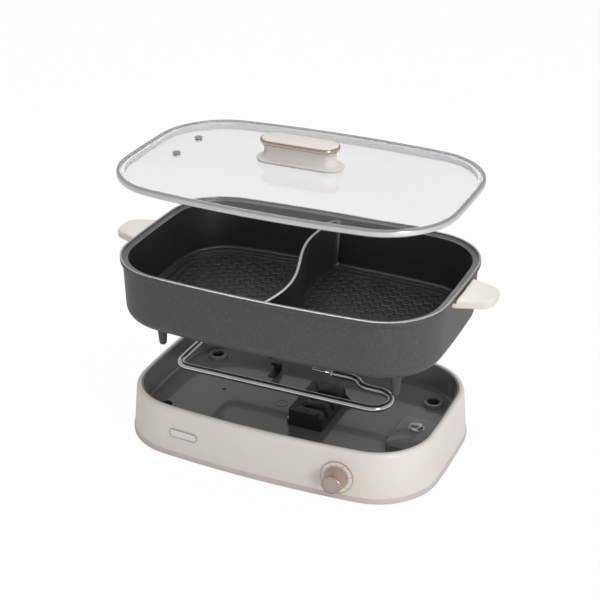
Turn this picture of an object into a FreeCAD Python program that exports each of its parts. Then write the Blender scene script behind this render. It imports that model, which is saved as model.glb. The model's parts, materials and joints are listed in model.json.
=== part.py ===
import FreeCAD, Part
import os
from math import asin, atan2, cos, degrees, hypot, pi, sin, sqrt

# Split electric hot pot: heated base, lift-off tube heater, two-compartment pot and glass lid.
# Millimetres, +Z up, origin on the table under the middle of the base, dial side towards -Y.
# The pot, the lid and the heater stand lifted off the base, one above the other.
os.makedirs("parts", exist_ok=True)
V = FreeCAD.Vector
UP = V(0, 0, 1)

# Outlines: half length, half width, radius of the long sides, of the short sides, of the corners
BASE = (190.0, 124.3, 1340.0, 1430.0, 75.0)
POT = (193.4, 126.4, 1525.0, 1582.0, 72.6)
LID = (195.6, 125.4, 1180.0, 1447.0, 80.8)

# Heights at which the lifted pieces stand, and the play between pieces that part
pot_lift = 91.7
heater_lift = 43.5
lid_lift = 92.9
part_gap = 0.4
fit_gap = 0.15
tiny = 0.01

# Base housing
foot_height = 2.5
band_height = 6.2
band_wall = 1.6
band_bevel = 1.0
base_height = 62.8
shell_wall = 2.8
shell_step = 1.0
shell_lean = 4.2
rim_round_height = 6.0
rim_round_width = 4.4
rim_edge_inset = 11.35
lip_thickness = 3.0
bottom_plate_thickness = 2.2
plate_post = 3.0
plate_post_wall = 1.0

# Tray inside the base
tray_drop = 0.8
tray_wall = 2.0
tray_draft = 1.3
tray_depth = 32.0
tray_floor_thickness = 1.8
tray_corner = 3.0
tray_flange = 2.0
tray_wall_room = 1.5
hole_x = -100.0
hole_y = -1.0
hole_radius = 2.6
mark_x = -22.0
mark_y = -4.0
mark_radius = 7.5
mark_width = 1.2
mark_depth = 0.4

# Wells for the feet of the pot
well_x = 143.0
well_y = 67.0
well_outer_radius = 11.7
well_bore_radius = 8.0
well_rise = 5.0
well_wall = 2.0
cup_wall = 1.6
cup_floor = 2.0

# Raised pad with the pot sensor
pad_x = 124.0
pad_front = -50.0
pad_back = 20.0
pad_rise = 9.0
pad_corner = 9.0
pad_skin = 2.0
sensor_x = 147.0
sensor_y = -3.0
button_radius = 7.4
button_proud = 4.6
button_edge = 0.8
button_flange = 1.4
button_flange_height = 1.2
button_travel = 3.0
button_stem_radius = 2.5
button_stem_length = 11.0
collar_width = 1.6
collar_height = 0.6
running_gap = 0.3
guide_radius = 9.5
guide_bore = 5.0
guide_floor = 3.0
guide_foot_x = 14.0
guide_foot_y = 10.0
spring_wire = 0.8
spring_mean_radius = 3.8
spring_turns = 5

# Terminal block for the heater pins
block_x0 = 4.0
block_x1 = 46.0
block_front = -43.0
block_back = 32.0
block_rise = 20.5
block_corner = 2.5
block_nose = 8.0
slot_pitch = 18.0
slot_width = 7.0
slot_start = 16.0
slot_depth = 10.5
clip_wall = 0.8
clip_length = 18.0
clip_height = 7.0
ear_radius = 4.0
ear_height = 4.0
ear_inset = 7.0
ear_screw_radius = 1.9
ear_screw_head = 1.3
ear_screw_shift = 2.0
clip_end_gap = 6.0
slot_run_out = 5.0
fin_length = 14.0
fin_width = 3.0
fin_height = 13.0
fin_y = 26.0

# Tube heater
tube_radius = 4.25
pin_radius = 2.0
pin_nose = 1.0
pin_bevel = 0.6
seal_radius = 3.0
seal_length = 4.0
pin_tip_x = 20.0
pin_y = 9.0
leg_end_x = 47.0
leg_y = 24.0
leg_bend_start = 66.0
leg_bend_end = 97.0
run_y = 64.0
hairpin_x = 108.5
loop_left_x = -128.0
loop_corner = 15.0
heater_rise = 16.5
rest_x = -60.0
rest_width = 10.0
rest_sheet = 1.2
rest_lip = 3.0
rest_foot = 16.0
rest_side = 4.0
rest_reach = 5.0

# Dial and name plate on the front wall
dial_x = 97.0
dial_z = 29.0
dial_ring_radius = 18.2
dial_ring_thickness = 1.2
dial_sink = 0.3
dial_trim_width = 0.8
knob_root_radius = 14.0
knob_tip_radius = 11.0
knob_length = 19.0
knob_flutes = 24
knob_flute_depth = 0.55
knob_bevel = 1.0
ridge_width = 1.1
trim_proud = 0.3
knob_skirt_bore = 9.0
knob_skirt_depth = 5.0
cap_radius = 9.6
cap_thickness = 1.4
cap_sink = 0.2
cap_bevel = 0.3
shaft_radius = 3.0
shaft_gap = 0.05
shaft_depth = 10.0
knob_bore = 12.0
control_wall_gap = 1.5
control_corner = 2.0
bush_radius = 4.6
nut_radius = 7.0
nut_thickness = 1.8
control_width = 28.0
control_height = 22.0
control_depth = 14.0
bay_wall = 1.8
bay_width = 38.0
bay_depth = 31.0
bay_rise = 18.0
bay_corner = 5.0
plate_x = -92.8
plate_z = 33.0
plate_length = 37.0
plate_height = 10.2
plate_thickness = 1.0
plate_rim = 0.9
plate_rim_proud = 0.4

# Power inlet in the rear wall
inlet_x = -60.0
inlet_tray_gap = 3.2
inlet_width = 28.0
inlet_height = 14.0
inlet_depth = 20.0
inlet_wall = 1.6
inlet_flange = 2.0
inlet_pin_width = 2.0
inlet_pin_height = 4.0
inlet_pin_length = 14.0
inlet_pitch = 7.0
inlet_back = 3.0
inlet_proud = 0.6

# Rubber feet and screws under the base
foot_x = 148.0
foot_y = 82.0
foot_radius = 9.5
foot_bevel = 1.0
plate_screw_x = 118.0
screw_head_radius = 3.2
screw_head_height = 1.6
screw_shank_radius = 1.6
screw_shank_length = 8.6
screw_cross_length = 3.6
screw_cross_width = 0.7
screw_cross_depth = 0.8
vent_slots = 7
vent_pitch = 8.0
vent_width = 3.0
vent_length = 46.0

# Pot
pot_height = 73.2
pot_bottom_round = 15.0
pot_bottom_inset = 4.2
pot_top_inset = 3.0
pot_flange_height = 7.6
pot_flange_slope = 2.0
pot_lip_width = 2.2
pot_seat_drop = 2.8
pot_seat_inset = 9.2
seat_lean = 0.4
pot_inner_draft = 1.2
pot_ledge_height = 10.0
pot_ledge_width = 9.0
pot_ledge_fall = 1.0
pot_step_width = 3.5
pot_floor_height = 5.0
pot_corner = 3.0
pot_floor_round = 2.0
pot_rim_round = 0.8
pot_foot_length = 39.5
pot_foot_tip_radius = 4.2
pot_foot_root_radius = 7.6
pot_foot_nose = 1.2
boss_radius = 8.5
divider_thickness = 3.6
divider_drop = 7.5
divider_bite = 3.0
divider_sway = 14.5
divider_half_wave = 135.0

# Side handles of the pot
handle_tip_x = 230.0
handle_tip_half = 17.0
handle_root_half = 31.0
handle_drop = 4.5
handle_thickness = 10.5
handle_corner = 11.0
handle_edge = 2.6
handle_slit = 1.2
handle_root_depth = 14.0
handle_touch = 0.05
handle_screw_head = 1.4
handle_screw_shank = 1.5
lug_length = 14.0
lug_half_width = 12.0
lug_thickness = 4.5
lug_root = 12.0

# Lid
lid_rim_height = 7.6
lid_rim_width = 4.4
lid_rim_bevel = 0.8
glass_thickness = 4.0
glass_edge_inset = 1.6
glass_edge_drop = 1.0
glass_edge_width = 6.0
glass_edge_round = 0.6
glass_lean = 1.0
dome = ((1.6, 0.0), (6.0, 0.6), (14.0, 2.4), (26.0, 4.6), (42.0, 6.6), (60.0, 7.9), (76.0, 8.4))
seal_inset = 5.4
seal_width = 3.8
seal_bevel = 0.9
seal_play = 0.1
seal_bite = 0.3
vent_x = 138.0
vent_y = 26.0
vent_radius = 5.0
vent_bore = 2.0
vent_lip = 1.0
vent_neck = 3.5
vent_play = 0.1
vent_slack = 0.5
vent_bevel = 0.6
handle_gasket = 1.0
handle_flange_half = 51.0
handle_flange_width = 17.0
handle_flange_height = 3.0
handle_waist_half = 42.0
handle_waist_width = 10.0
handle_cap_half = 46.0
handle_cap_width = 16.0
handle_stem_height = 17.0
handle_trim_height = 4.4
handle_cap_rise = 1.6
flange_edge = 0.6
flange_step = 4.0
trim_edge = 0.6
cap_edge = 0.4
cap_slope = 5.0
stem_curve = ((0.12, 0.45), (0.28, 0.12), (0.5, 0.0), (0.7, 0.14), (0.86, 0.5), (1.0, 0.92))
handle_screw_x = 26.0
handle_core_inset = 1.6
lid_screw_bite = 10.0
lid_washer_width = 2.4
lid_washer_thickness = 1.2
lid_screw_head = 1.8


def corner_centre(spec):
    """Centre of the first-quadrant corner arc, tangent to the long side and to the short side."""
    half_length, half_width, long_radius, end_radius, corner = spec
    long_y = half_width - long_radius
    end_x = half_length - end_radius
    to_long = long_radius - corner
    to_end = end_radius - corner
    apart = hypot(end_x, long_y)
    along = (to_long ** 2 - to_end ** 2 + apart ** 2) / (2 * apart)
    aside = sqrt(to_long ** 2 - along ** 2)
    ex = end_x / apart
    ey = -long_y / apart
    return (ex * along + ey * aside, long_y + ey * along - ex * aside)


def outline(spec, inset, z):
    """Closed outline of eight tangent arcs at height z, drawn in by inset all round."""
    half_length, half_width, long_radius, end_radius, corner = spec
    cx, cy = corner_centre(spec)
    turn_long = atan2(cy - half_width + long_radius, cx)
    turn_end = atan2(cy, cx - half_length + end_radius)
    turn_mid = (turn_long + turn_end) / 2
    radius = corner - inset
    spots = [(cx + radius * cos(t), cy + radius * sin(t)) for t in (turn_end, turn_mid, turn_long)]
    (qx, qy), (mx, my), (px, py) = spots
    side_x = half_length - inset
    long_y = half_width - inset
    arcs = (((qx, -qy), (side_x, 0), (qx, qy)), ((qx, qy), (mx, my), (px, py)),
            ((px, py), (0, long_y), (-px, py)), ((-px, py), (-mx, my), (-qx, qy)),
            ((-qx, qy), (-side_x, 0), (-qx, -qy)), ((-qx, -qy), (-mx, -my), (-px, -py)),
            ((-px, -py), (0, -long_y), (px, -py)), ((px, -py), (mx, -my), (qx, -qy)))
    return Part.Wire([Part.Arc(*[V(x, y, z) for x, y in arc]).toShape() for arc in arcs])


def stack(spec, profile):
    """Solid through outlines given as (inset, height) pairs, from the lowest up."""
    return Part.makeLoft([outline(spec, inset, z) for inset, z in profile], True, True)


def quarter(inset, z, width, height, steps, start=0.0):
    """Points of a quarter ellipse that starts upright at (inset, z) and ends level."""
    turns = [start + (pi / 2 - start) * (i + 1) / steps for i in range(steps)]
    return [(inset + width * (1 - cos(t)), z + height * sin(t)) for t in turns]


def round_plate(half_x, half_y, radius, z, height, cx=0.0, cy=0.0):
    """Upright slab with four rounded corners."""
    radius = min(radius, half_x - tiny, half_y - tiny)
    return Part.Face(round_wire(half_x, half_y, radius, z, cx, cy)).extrude(V(0, 0, height))


def round_wire(half_x, half_y, radius, z, cx=0.0, cy=0.0):
    """Rounded rectangle as four lines and four arcs."""
    ix = half_x - radius
    iy = half_y - radius
    s = radius * sqrt(0.5)
    edges = []
    corners = ((ix, iy, 0), (-ix, iy, 1), (-ix, -iy, 2), (ix, -iy, 3))
    turns = ((1, 0), (0, 1), (-1, 0), (0, -1))
    for i, (x, y, quarter_turn) in enumerate(corners):
        ax, ay = turns[quarter_turn]
        bx, by = turns[(quarter_turn + 1) % 4]
        start = V(cx + x + ax * radius, cy + y + ay * radius, z)
        middle = V(cx + x + (ax + bx) * s, cy + y + (ay + by) * s, z)
        end = V(cx + x + bx * radius, cy + y + by * radius, z)
        edges.append(Part.Arc(start, middle, end).toShape())
        nx, ny, _ = corners[(i + 1) % 4]
        following = V(cx + nx + bx * radius, cy + ny + by * radius, z)
        if (following - end).Length > 0.001:
            edges.append(Part.LineSegment(end, following).toShape())
    return Part.Wire(edges)


def stadium(half_length, half_width, z, cx=0.0, cy=0.0):
    """Slot-shaped wire along X: two lines and two half circles."""
    ix = half_length - half_width
    a = V(cx - ix, cy - half_width, z)
    b = V(cx + ix, cy - half_width, z)
    c = V(cx + ix, cy + half_width, z)
    d = V(cx - ix, cy + half_width, z)
    right = Part.Arc(b, V(cx + half_length, cy, z), c).toShape()
    left = Part.Arc(d, V(cx - half_length, cy, z), a).toShape()
    return Part.Wire([Part.LineSegment(a, b).toShape(), right, Part.LineSegment(c, d).toShape(), left])


def stadium_stack(profile):
    """Solid through slot shapes given as (half length, half width, height)."""
    return Part.makeLoft([stadium(l, w, z) for l, w, z in profile], True, True)


def cylinder(radius, height, x=0.0, y=0.0, z=0.0, axis=UP):
    return Part.makeCylinder(radius, height, V(x, y, z), axis)


def turned(profile, x=0.0, y=0.0, z=0.0):
    """Solid of revolution about the upright line at (x, y) from (radius, height) points."""
    points = [V(x + r, y, z + h) for r, h in profile]
    face = Part.Face(Part.makePolygon(points + points[:1]))
    return face.revolve(V(x, y, 0), UP, 360)


def block(x0, x1, y0, y1, z0, z1):
    return Part.makeBox(x1 - x0, y1 - y0, z1 - z0, V(x0, y0, z0))


def group(shapes):
    return Part.makeCompound(list(shapes))


def four(x, y):
    return [(sx * x, sy * y) for sx in (-1, 1) for sy in (-1, 1)]


def save(name, shape):
    shape.exportStep("parts/" + name + ".step")
    print(name, len(shape.Solids), "solids", round(shape.Volume / 1000, 2), "cm3")


# Heights worked out from the sizes above
band_top = foot_height + band_height
shoulder_z = base_height - rim_round_height
lip_z = base_height - lip_thickness
tray_top = base_height - tray_drop
tray_floor_z = tray_top - tray_depth
tray_under = tray_floor_z - tray_floor_thickness
inlet_z = tray_under - inlet_tray_gap - inlet_height / 2
tray_inset = rim_edge_inset + fit_gap
pad_top = tray_floor_z + pad_rise
bay_top = tray_floor_z + bay_rise
heater_z = tray_floor_z + heater_rise
block_top = tray_floor_z + block_rise
slot_floor = block_top - slot_depth
shoulder_inset = shell_step + shell_lean
pot_seated_z = base_height + 1.0
pot_z = pot_seated_z + pot_lift
well_seat = pot_seated_z - pot_foot_length
well_floor = well_seat - cup_floor
heater_rest_z = heater_z + heater_lift
pot_top = pot_z + pot_height
pot_seat_z = pot_top - pot_seat_drop
lid_z = pot_top + part_gap + lid_lift
glass_z = lid_z + lid_rim_height - glass_edge_drop
handle_seat_z = glass_z + dome[-1][1]
handle_head_z = handle_seat_z + handle_gasket + handle_flange_height + handle_stem_height
lid_screw_hole = screw_shank_radius + 1.2
button_top = pad_top + button_proud
handle_screw_place = POT[0] + lug_length / 2 + 1.0
handle_screw_recess = (handle_thickness - lug_thickness) / 2 - handle_screw_shank
handle_screw_radius = screw_shank_radius + 1.2
flange_z = pad_top - pad_skin - running_gap - button_flange_height
guide_floor_z = flange_z - button_stem_length - button_travel - 1.0


def shell_inset_at(z):
    """Inset of the leaning outer wall of the shell at height z."""
    return shell_step + shell_lean * (z - band_top) / (shoulder_z - band_top)


def front_wall(x, z):
    """Placement on the outer front wall: local Z points straight out of it, local X stays level."""
    half_width, long_radius = BASE[1], BASE[2]
    radius = long_radius - shell_inset_at(z)
    yaw = asin(x / radius)
    lean = atan2(shell_lean, shoulder_z - band_top)
    spot = V(x, half_width - long_radius + radius * cos(yaw), z)
    spot.y = -spot.y
    turn = FreeCAD.Rotation(UP, degrees(yaw)).multiply(FreeCAD.Rotation(V(1, 0, 0), 90 - degrees(lean)))
    return FreeCAD.Placement(spot, turn)


def placed(shape, placement):
    moved = shape.copy()
    moved.Placement = placement.multiply(moved.Placement)
    return moved


dial_place = front_wall(dial_x, dial_z)
plate_place = front_wall(plate_x, plate_z)


# Base housing
def base_shell():
    skirt_inset = band_wall
    body = stack(BASE, [(shell_step, band_top), (shoulder_inset, shoulder_z)]
                 + quarter(shoulder_inset, shoulder_z, rim_round_width, rim_round_height, 4))
    skirt = stack(BASE, [(skirt_inset, foot_height), (skirt_inset, band_top + 1)])
    hollow = stack(BASE, [(skirt_inset + shell_wall, foot_height - 1),
                          (shoulder_inset + shell_wall, lip_z)])
    opening = stack(BASE, [(rim_edge_inset, lip_z - 1), (rim_edge_inset, base_height + 1)])
    deep = 4 * shell_wall
    shell = body.fuse(skirt).cut(hollow.fuse(opening))
    dial_seat = cylinder(dial_ring_radius + dial_trim_width, deep, 0, 0, -dial_sink)
    dial_hole = cylinder(bush_radius + fit_gap, 2 * deep, 0, 0, -deep)
    plate_seat = round_plate(plate_length / 2, plate_height / 2, plate_height / 2, -dial_sink, deep)
    for tool, place in ((dial_seat, dial_place), (dial_hole, dial_place), (plate_seat, plate_place)):
        shell = shell.cut(placed(tool, place))
    return shell.cut(inlet_envelope(fit_gap))


def base_trim_band():
    outer = stack(BASE, [(0.0, foot_height), (0.0, band_top - band_bevel), (band_bevel / 2, band_top)])
    inner = stack(BASE, [(band_wall, foot_height - 1), (band_wall, band_top + 1)])
    return outer.cut(inner)


def bottom_plate():
    inset = band_wall + shell_wall + 2 * fit_gap
    plate = stack(BASE, [(inset, foot_height), (inset, foot_height + bottom_plate_thickness)])
    for i in range(vent_slots):
        x = (i - (vent_slots - 1) / 2) * vent_pitch
        slot = round_plate(vent_width / 2, vent_length / 2, vent_width / 2, 0, base_height, x)
        plate = plate.cut(slot)
    for x, y in screw_places():
        post_z = foot_height + bottom_plate_thickness
        post = cylinder(screw_head_radius + plate_post_wall, plate_post, x, y, post_z)
        plate = plate.fuse(post).cut(cylinder(screw_shank_radius, base_height, x, y))
        plate = plate.cut(cylinder(screw_head_radius, screw_head_height, x, y, foot_height))
    return plate


def screw_places():
    return [(x, y) for x, y in four(plate_screw_x, foot_y)] + [(0, foot_y), (0, -foot_y)]


def rubber_feet():
    profile = [(0, 0), (foot_radius - foot_bevel, 0), (foot_radius, foot_bevel), (foot_radius, foot_height),
               (0, foot_height)]
    return group(turned(profile, x, y) for x, y in four(foot_x, foot_y))


def bottom_screws():
    screws = []
    for x, y in screw_places():
        head = cylinder(screw_head_radius - fit_gap, screw_head_height, x, y, foot_height)
        length = bottom_plate_thickness - screw_head_height + plate_post + screw_shank_length
        shank = cylinder(screw_shank_radius, length, x, y, foot_height + screw_head_height)
        long = screw_cross_length / 2
        thin = screw_cross_width / 2
        deep = foot_height + screw_cross_depth
        cross = block(x - long, x + long, y - thin, y + thin, foot_height, deep)
        bar = block(x - thin, x + thin, y - long, y + long, foot_height, deep)
        screws.append(head.fuse(shank).cut(cross.fuse(bar)))
    return group(screws)


# Tray
def tray_inside(grow=0.0):
    top_inset = tray_inset + tray_wall - grow
    low_inset = top_inset + tray_draft
    rounding = [(low_inset + tray_corner * (1 - sin(t)), tray_floor_z + tray_corner * (1 - cos(t)))
                for t in (0, pi / 6, pi / 3, pi / 2)]
    return stack(BASE, rounding + [(top_inset, tray_top + 1)])


def bay(grow):
    """Room behind the dial that keeps the control out of the tray."""
    half = bay_width / 2 + grow
    depth = bay_depth + grow
    y = -BASE[1]
    return round_plate(half, depth, bay_corner, tray_under - 1, bay_top + grow - tray_under + 1, dial_x, y)


def pad_shape(grow):
    """Raised pad from the floor to the right-hand wall."""
    middle = (pad_front + pad_back) / 2
    half = (pad_back - pad_front) / 2 - grow
    reach = BASE[0] - pad_x
    height = pad_rise + tray_floor_thickness + 1 - grow
    return round_plate(reach - grow, half, pad_corner, tray_under - 1, height, pad_x + reach, middle)


def inner_tray():
    shell = stack(BASE, [(tray_inset + tray_draft, tray_under), (tray_inset, tray_top)])
    rim_inset = shoulder_inset + shell_wall + 2 * fit_gap
    shell = shell.fuse(stack(BASE, [(rim_inset, lip_z - tray_flange), (rim_inset, lip_z)]))
    raised = pad_shape(0).fuse(bay(0))
    tubes = []
    for x, y in four(well_x, well_y):
        raised = raised.fuse(cylinder(well_outer_radius, well_rise + 1, x, y, tray_floor_z - 1))
        tube_z = well_floor - well_wall
        tubes.append(cylinder(well_bore_radius + well_wall, tray_floor_z - tube_z, x, y, tube_z))
    low = tray_inset + tray_wall_room
    envelope = tray_inside(tray_wall / 2).fuse(stack(BASE, [(low, tray_under), (low, tray_floor_z)]))
    tray = shell.cut(tray_inside()).fuse(raised.common(envelope)).fuse(group(tubes))
    inner = tray_inset + tray_draft + tray_wall
    under = pad_shape(pad_skin).common(stack(BASE, [(inner, 0), (inner, base_height)]))
    outer = tray_inset - 2 * tray_wall_room
    room = bay(-bay_wall).common(stack(BASE, [(outer, 0), (outer, bay_top - bay_wall)]))
    tray = tray.cut(under).cut(room)
    for x, y in four(well_x, well_y):
        tray = tray.cut(cylinder(well_bore_radius, base_height, x, y, well_floor))
    tray = tray.cut(cylinder(button_radius + running_gap, base_height, sensor_x, sensor_y, tray_floor_z))
    tray = tray.cut(cylinder(hole_radius, base_height, hole_x, hole_y, 0))
    mark_z = tray_floor_z - mark_depth
    mark = cylinder(mark_radius, pad_rise, mark_x, mark_y, mark_z)
    return tray.cut(mark.cut(cylinder(mark_radius - mark_width, pad_rise, mark_x, mark_y, mark_z)))


def socket_cups():
    height = tray_floor_z + well_rise - 1.0 - well_floor
    cups = []
    for x, y in four(well_x, well_y):
        cup = cylinder(well_bore_radius, height, x, y, well_floor)
        cups.append(cup.cut(cylinder(well_bore_radius - cup_wall, height, x, y, well_floor + cup_floor)))
    return group(cups)


# Sensor under the pot
def sensor_collar():
    inner = button_radius + running_gap
    ring = cylinder(inner + collar_width, collar_height, sensor_x, sensor_y, pad_top)
    return ring.cut(cylinder(inner, pad_rise, sensor_x, sensor_y, pad_top - 1))


def sensor_button():
    height = button_top - flange_z
    wide = button_radius + button_flange
    profile = [(0, 0), (wide, 0), (wide, button_flange_height), (button_radius, button_flange_height),
               (button_radius, height - button_edge), (button_radius - button_edge, height), (0, height)]
    cap = turned(profile, sensor_x, sensor_y, flange_z)
    stem_z = flange_z - button_stem_length
    return cap.fuse(cylinder(button_stem_radius, button_stem_length, sensor_x, sensor_y, stem_z))


def sensor_guide():
    """Switch housing under the pad, with the bore that guides the stem and holds the spring."""
    top = flange_z - button_travel - running_gap
    low = guide_floor_z - guide_floor
    body = cylinder(guide_radius, top - low, sensor_x, sensor_y, low)
    foot = block(sensor_x - guide_foot_x, sensor_x + guide_foot_x, sensor_y - guide_foot_y,
                 sensor_y + guide_foot_y, foot_height + bottom_plate_thickness, low)
    return body.fuse(foot).cut(cylinder(guide_bore, base_height, sensor_x, sensor_y, guide_floor_z))


def sensor_spring():
    """Helix between the bore floor and the flange of the button, ends lying flat."""
    low = guide_floor_z + spring_wire / 2
    high = flange_z - spring_wire / 2 - shaft_gap
    pitch = (high - low) / spring_turns
    helix = Part.makeHelix(pitch, high - low, spring_mean_radius)
    start = V(spring_mean_radius, 0, 0)
    rise = pitch / (2 * pi * spring_mean_radius)
    circle = Part.Wire(Part.makeCircle(spring_wire / 2, start, V(0, 1, rise)))
    coil = Part.Wire(helix.Edges).makePipeShell([circle], True, True)
    coil.translate(V(sensor_x, sensor_y, low))
    gap = pitch - spring_wire
    print("spring gap between turns", round(gap, 2), "mm")
    return coil


# Terminal block and its contacts
def slot_places():
    return [pin_y - i * slot_pitch for i in range(3)]


def terminal_block():
    middle = (block_front + block_back) / 2
    half_y = (block_back - block_front) / 2
    half_x = (block_x1 - block_x0) / 2
    body = round_plate(half_x, half_y, block_corner, tray_floor_z, block_rise, block_x0 + half_x, middle)
    corner_x = block_x1 - block_nose
    corner_z = block_top - block_nose
    corner = block(corner_x, block_x1 + 1, block_front - 1, block_back + 1, corner_z, block_top + 1)
    length = block_back - block_front + 2
    nose = cylinder(block_nose, length, corner_x, block_front - 1, corner_z, V(0, 1, 0))
    body = body.cut(corner.cut(nose))
    half = (block_x1 + slot_run_out - slot_start) / 2
    round_end = slot_width / 2
    for y in slot_places():
        slot = round_plate(half, round_end, round_end, slot_floor, slot_depth + 1, slot_start + half, y)
        body = body.cut(slot)
    for y in ear_places():
        body = body.fuse(cylinder(ear_radius, ear_height, block_x0, y, tray_floor_z))
    return body.fuse(block_fin()).removeSplitter()


def ear_places():
    return (block_front + ear_inset, block_back - ear_inset)


def block_fin():
    """Three-cornered rib that braces the right wall of the block against the tray floor."""
    points = [V(block_x1 - 1, fin_y, tray_floor_z), V(block_x1 + fin_length, fin_y, tray_floor_z),
              V(block_x1 - 1, fin_y, tray_floor_z + fin_height)]
    return Part.Face(Part.makePolygon(points + points[:1])).extrude(V(0, fin_width, 0))


def terminal_contacts():
    clips = []
    for y in slot_places():
        half = slot_width / 2 - fit_gap
        x0 = block_x1 - clip_end_gap - clip_length
        outer = block(x0, x0 + clip_length, y - half, y + half, slot_floor, slot_floor + clip_height)
        hollow = half - clip_wall
        low = slot_floor + clip_wall
        inner = block(x0 - 1, x0 + clip_length + 1, y - hollow, y + hollow, low, block_top)
        clips.append(outer.cut(inner))
    return group(clips)


def block_screws():
    x = block_x0 - ear_screw_shift
    z = tray_floor_z + ear_height
    return group(cylinder(ear_screw_radius, ear_screw_head, x, y, z) for y in ear_places())


# Heater
def heater_path(z):
    """Centre line of the tube: leg, swan neck, hairpin, front run, left run, and the same mirrored."""
    bend = (leg_bend_end - leg_bend_start) / 2
    shift = (leg_y - pin_y) / 2
    radius = (bend ** 2 + shift ** 2) / (2 * shift)
    turn = 2 * atan2(shift, bend)
    hairpin = (run_y - leg_y) / 2
    middle_x = (leg_bend_start + leg_bend_end) / 2
    middle_y = (pin_y + leg_y) / 2
    first = (leg_bend_start + radius * sin(turn / 2), pin_y + radius * (1 - cos(turn / 2)))
    second = (leg_bend_end - radius * sin(turn / 2), leg_y - radius * (1 - cos(turn / 2)))
    half = loop_corner * (1 - sqrt(0.5))
    steps = (("line", (leg_end_x, pin_y), (leg_bend_start, pin_y)),
             ("arc", (leg_bend_start, pin_y), first, (middle_x, middle_y)),
             ("arc", (middle_x, middle_y), second, (leg_bend_end, leg_y)),
             ("line", (leg_bend_end, leg_y), (hairpin_x, leg_y)),
             ("arc", (hairpin_x, leg_y), (hairpin_x + hairpin, leg_y + hairpin), (hairpin_x, run_y)),
             ("line", (hairpin_x, run_y), (loop_left_x + loop_corner, run_y)),
             ("arc", (loop_left_x + loop_corner, run_y), (loop_left_x + half, run_y - half),
              (loop_left_x, run_y - loop_corner)))
    edges = []
    for side in (-1, 1):
        for kind, *points in steps:
            spots = [V(x, side * y, z) for x, y in points]
            edges.append((Part.LineSegment(*spots) if kind == "line" else Part.Arc(*spots)).toShape())
    low = V(loop_left_x, -run_y + loop_corner, z)
    high = V(loop_left_x, run_y - loop_corner, z)
    edges.append(Part.LineSegment(low, high).toShape())
    return Part.Wire(Part.__sortEdges__(edges))


def heater_tube():
    path = heater_path(heater_rest_z)
    ring = Part.Wire(Part.makeCircle(tube_radius, V(leg_end_x, -pin_y, heater_rest_z), V(1, 0, 0)))
    tube = path.makePipeShell([ring], True, False)
    print("heater tube", round(path.Length, 1), "mm long, volume ratio",
          round(tube.Volume / (path.Length * pi * tube_radius ** 2), 4))
    return tube


def heater_pins():
    length = leg_end_x - seal_length - pin_tip_x - pin_nose
    ahead = V(1, 0, 0)
    pins = []
    for y in (-pin_y, pin_y):
        tip = V(pin_tip_x, y, heater_rest_z)
        nose = Part.makeCone(pin_radius - pin_bevel, pin_radius, pin_nose, tip, ahead)
        rod = cylinder(pin_radius, length, pin_tip_x + pin_nose, y, heater_rest_z, ahead)
        pins.append(nose.fuse(rod))
    return group(pins)


def heater_seals():
    x = leg_end_x - seal_length
    return group(cylinder(seal_radius, seal_length, x, y, heater_rest_z, V(1, 0, 0)) for y in (-pin_y, pin_y))


def heater_rest():
    """Bent sheet bracket on the tray floor with a cradle just under the rear run."""
    top = heater_z - tube_radius - part_gap
    x0 = rest_x - rest_width / 2
    x1 = rest_x + rest_width / 2
    back = run_y + rest_side
    front = run_y - rest_reach
    foot = block(x0, x1, run_y - rest_foot, back, tray_floor_z, tray_floor_z + rest_sheet)
    post = block(x0, x1, back - rest_sheet, back, tray_floor_z, top)
    shelf = block(x0, x1, front, back, top - rest_sheet, top)
    lip = block(x0, x1, front - rest_sheet, front, top - rest_sheet, top + rest_lip)
    return foot.fuse(post).fuse(shelf).fuse(lip).removeSplitter()


# Dial, in the frame of the front wall
def dial_ring():
    plate = cylinder(dial_ring_radius, dial_ring_thickness + dial_sink, 0, 0, -dial_sink)
    return placed(plate.cut(cylinder(bush_radius + fit_gap, knob_length, 0, 0, -2 * dial_sink)), dial_place)


def dial_trim():
    outer = dial_ring_radius + dial_trim_width
    top = dial_ring_thickness + trim_proud
    profile = [(dial_ring_radius, -dial_sink), (outer, -dial_sink), (outer, top - trim_proud),
               (outer - trim_proud, top), (dial_ring_radius, top)]
    return placed(turned(profile), dial_place)


def fluted(radius, z):
    """Closed wire of shallow hollows round a circle."""
    edges = []
    for i in range(knob_flutes):
        turns = [2 * pi * (i + k / 2) / knob_flutes for k in range(3)]
        depths = (0, knob_flute_depth, 0)
        spots = [V((radius - d) * cos(t), (radius - d) * sin(t), z) for t, d in zip(turns, depths)]
        edges.append(Part.Arc(*spots).toShape())
    return Part.Wire(edges)


def dial_knob():
    root = dial_ring_thickness + part_gap
    tip = root + knob_length
    side = [fluted(knob_root_radius, root), fluted(knob_tip_radius, tip - knob_bevel)]
    body = Part.makeLoft(side, True, True)
    low_radius = knob_tip_radius - knob_flute_depth
    cone = Part.makeCone(low_radius, knob_tip_radius - knob_bevel, knob_bevel, V(0, 0, tip - knob_bevel))
    body = body.fuse(cone)
    body = body.cut(cylinder(knob_skirt_bore, knob_skirt_depth, 0, 0, root))
    body = body.cut(cylinder(cap_radius, knob_length, 0, 0, tip - cap_thickness))
    body = body.cut(cylinder(shaft_radius, knob_bore, 0, 0, root))
    slope = (knob_root_radius - knob_tip_radius) / knob_length
    half = ridge_width / 2
    ridge = block(-half, half, -half, half, 0, knob_length - 2 * knob_bevel)
    ridge.rotate(V(0, 0, 0), V(1, 0, 0), degrees(atan2(slope, 1)))
    ridge.translate(V(0, knob_root_radius - half / 2, root + half))
    return placed(body.fuse(ridge), dial_place)


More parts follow.
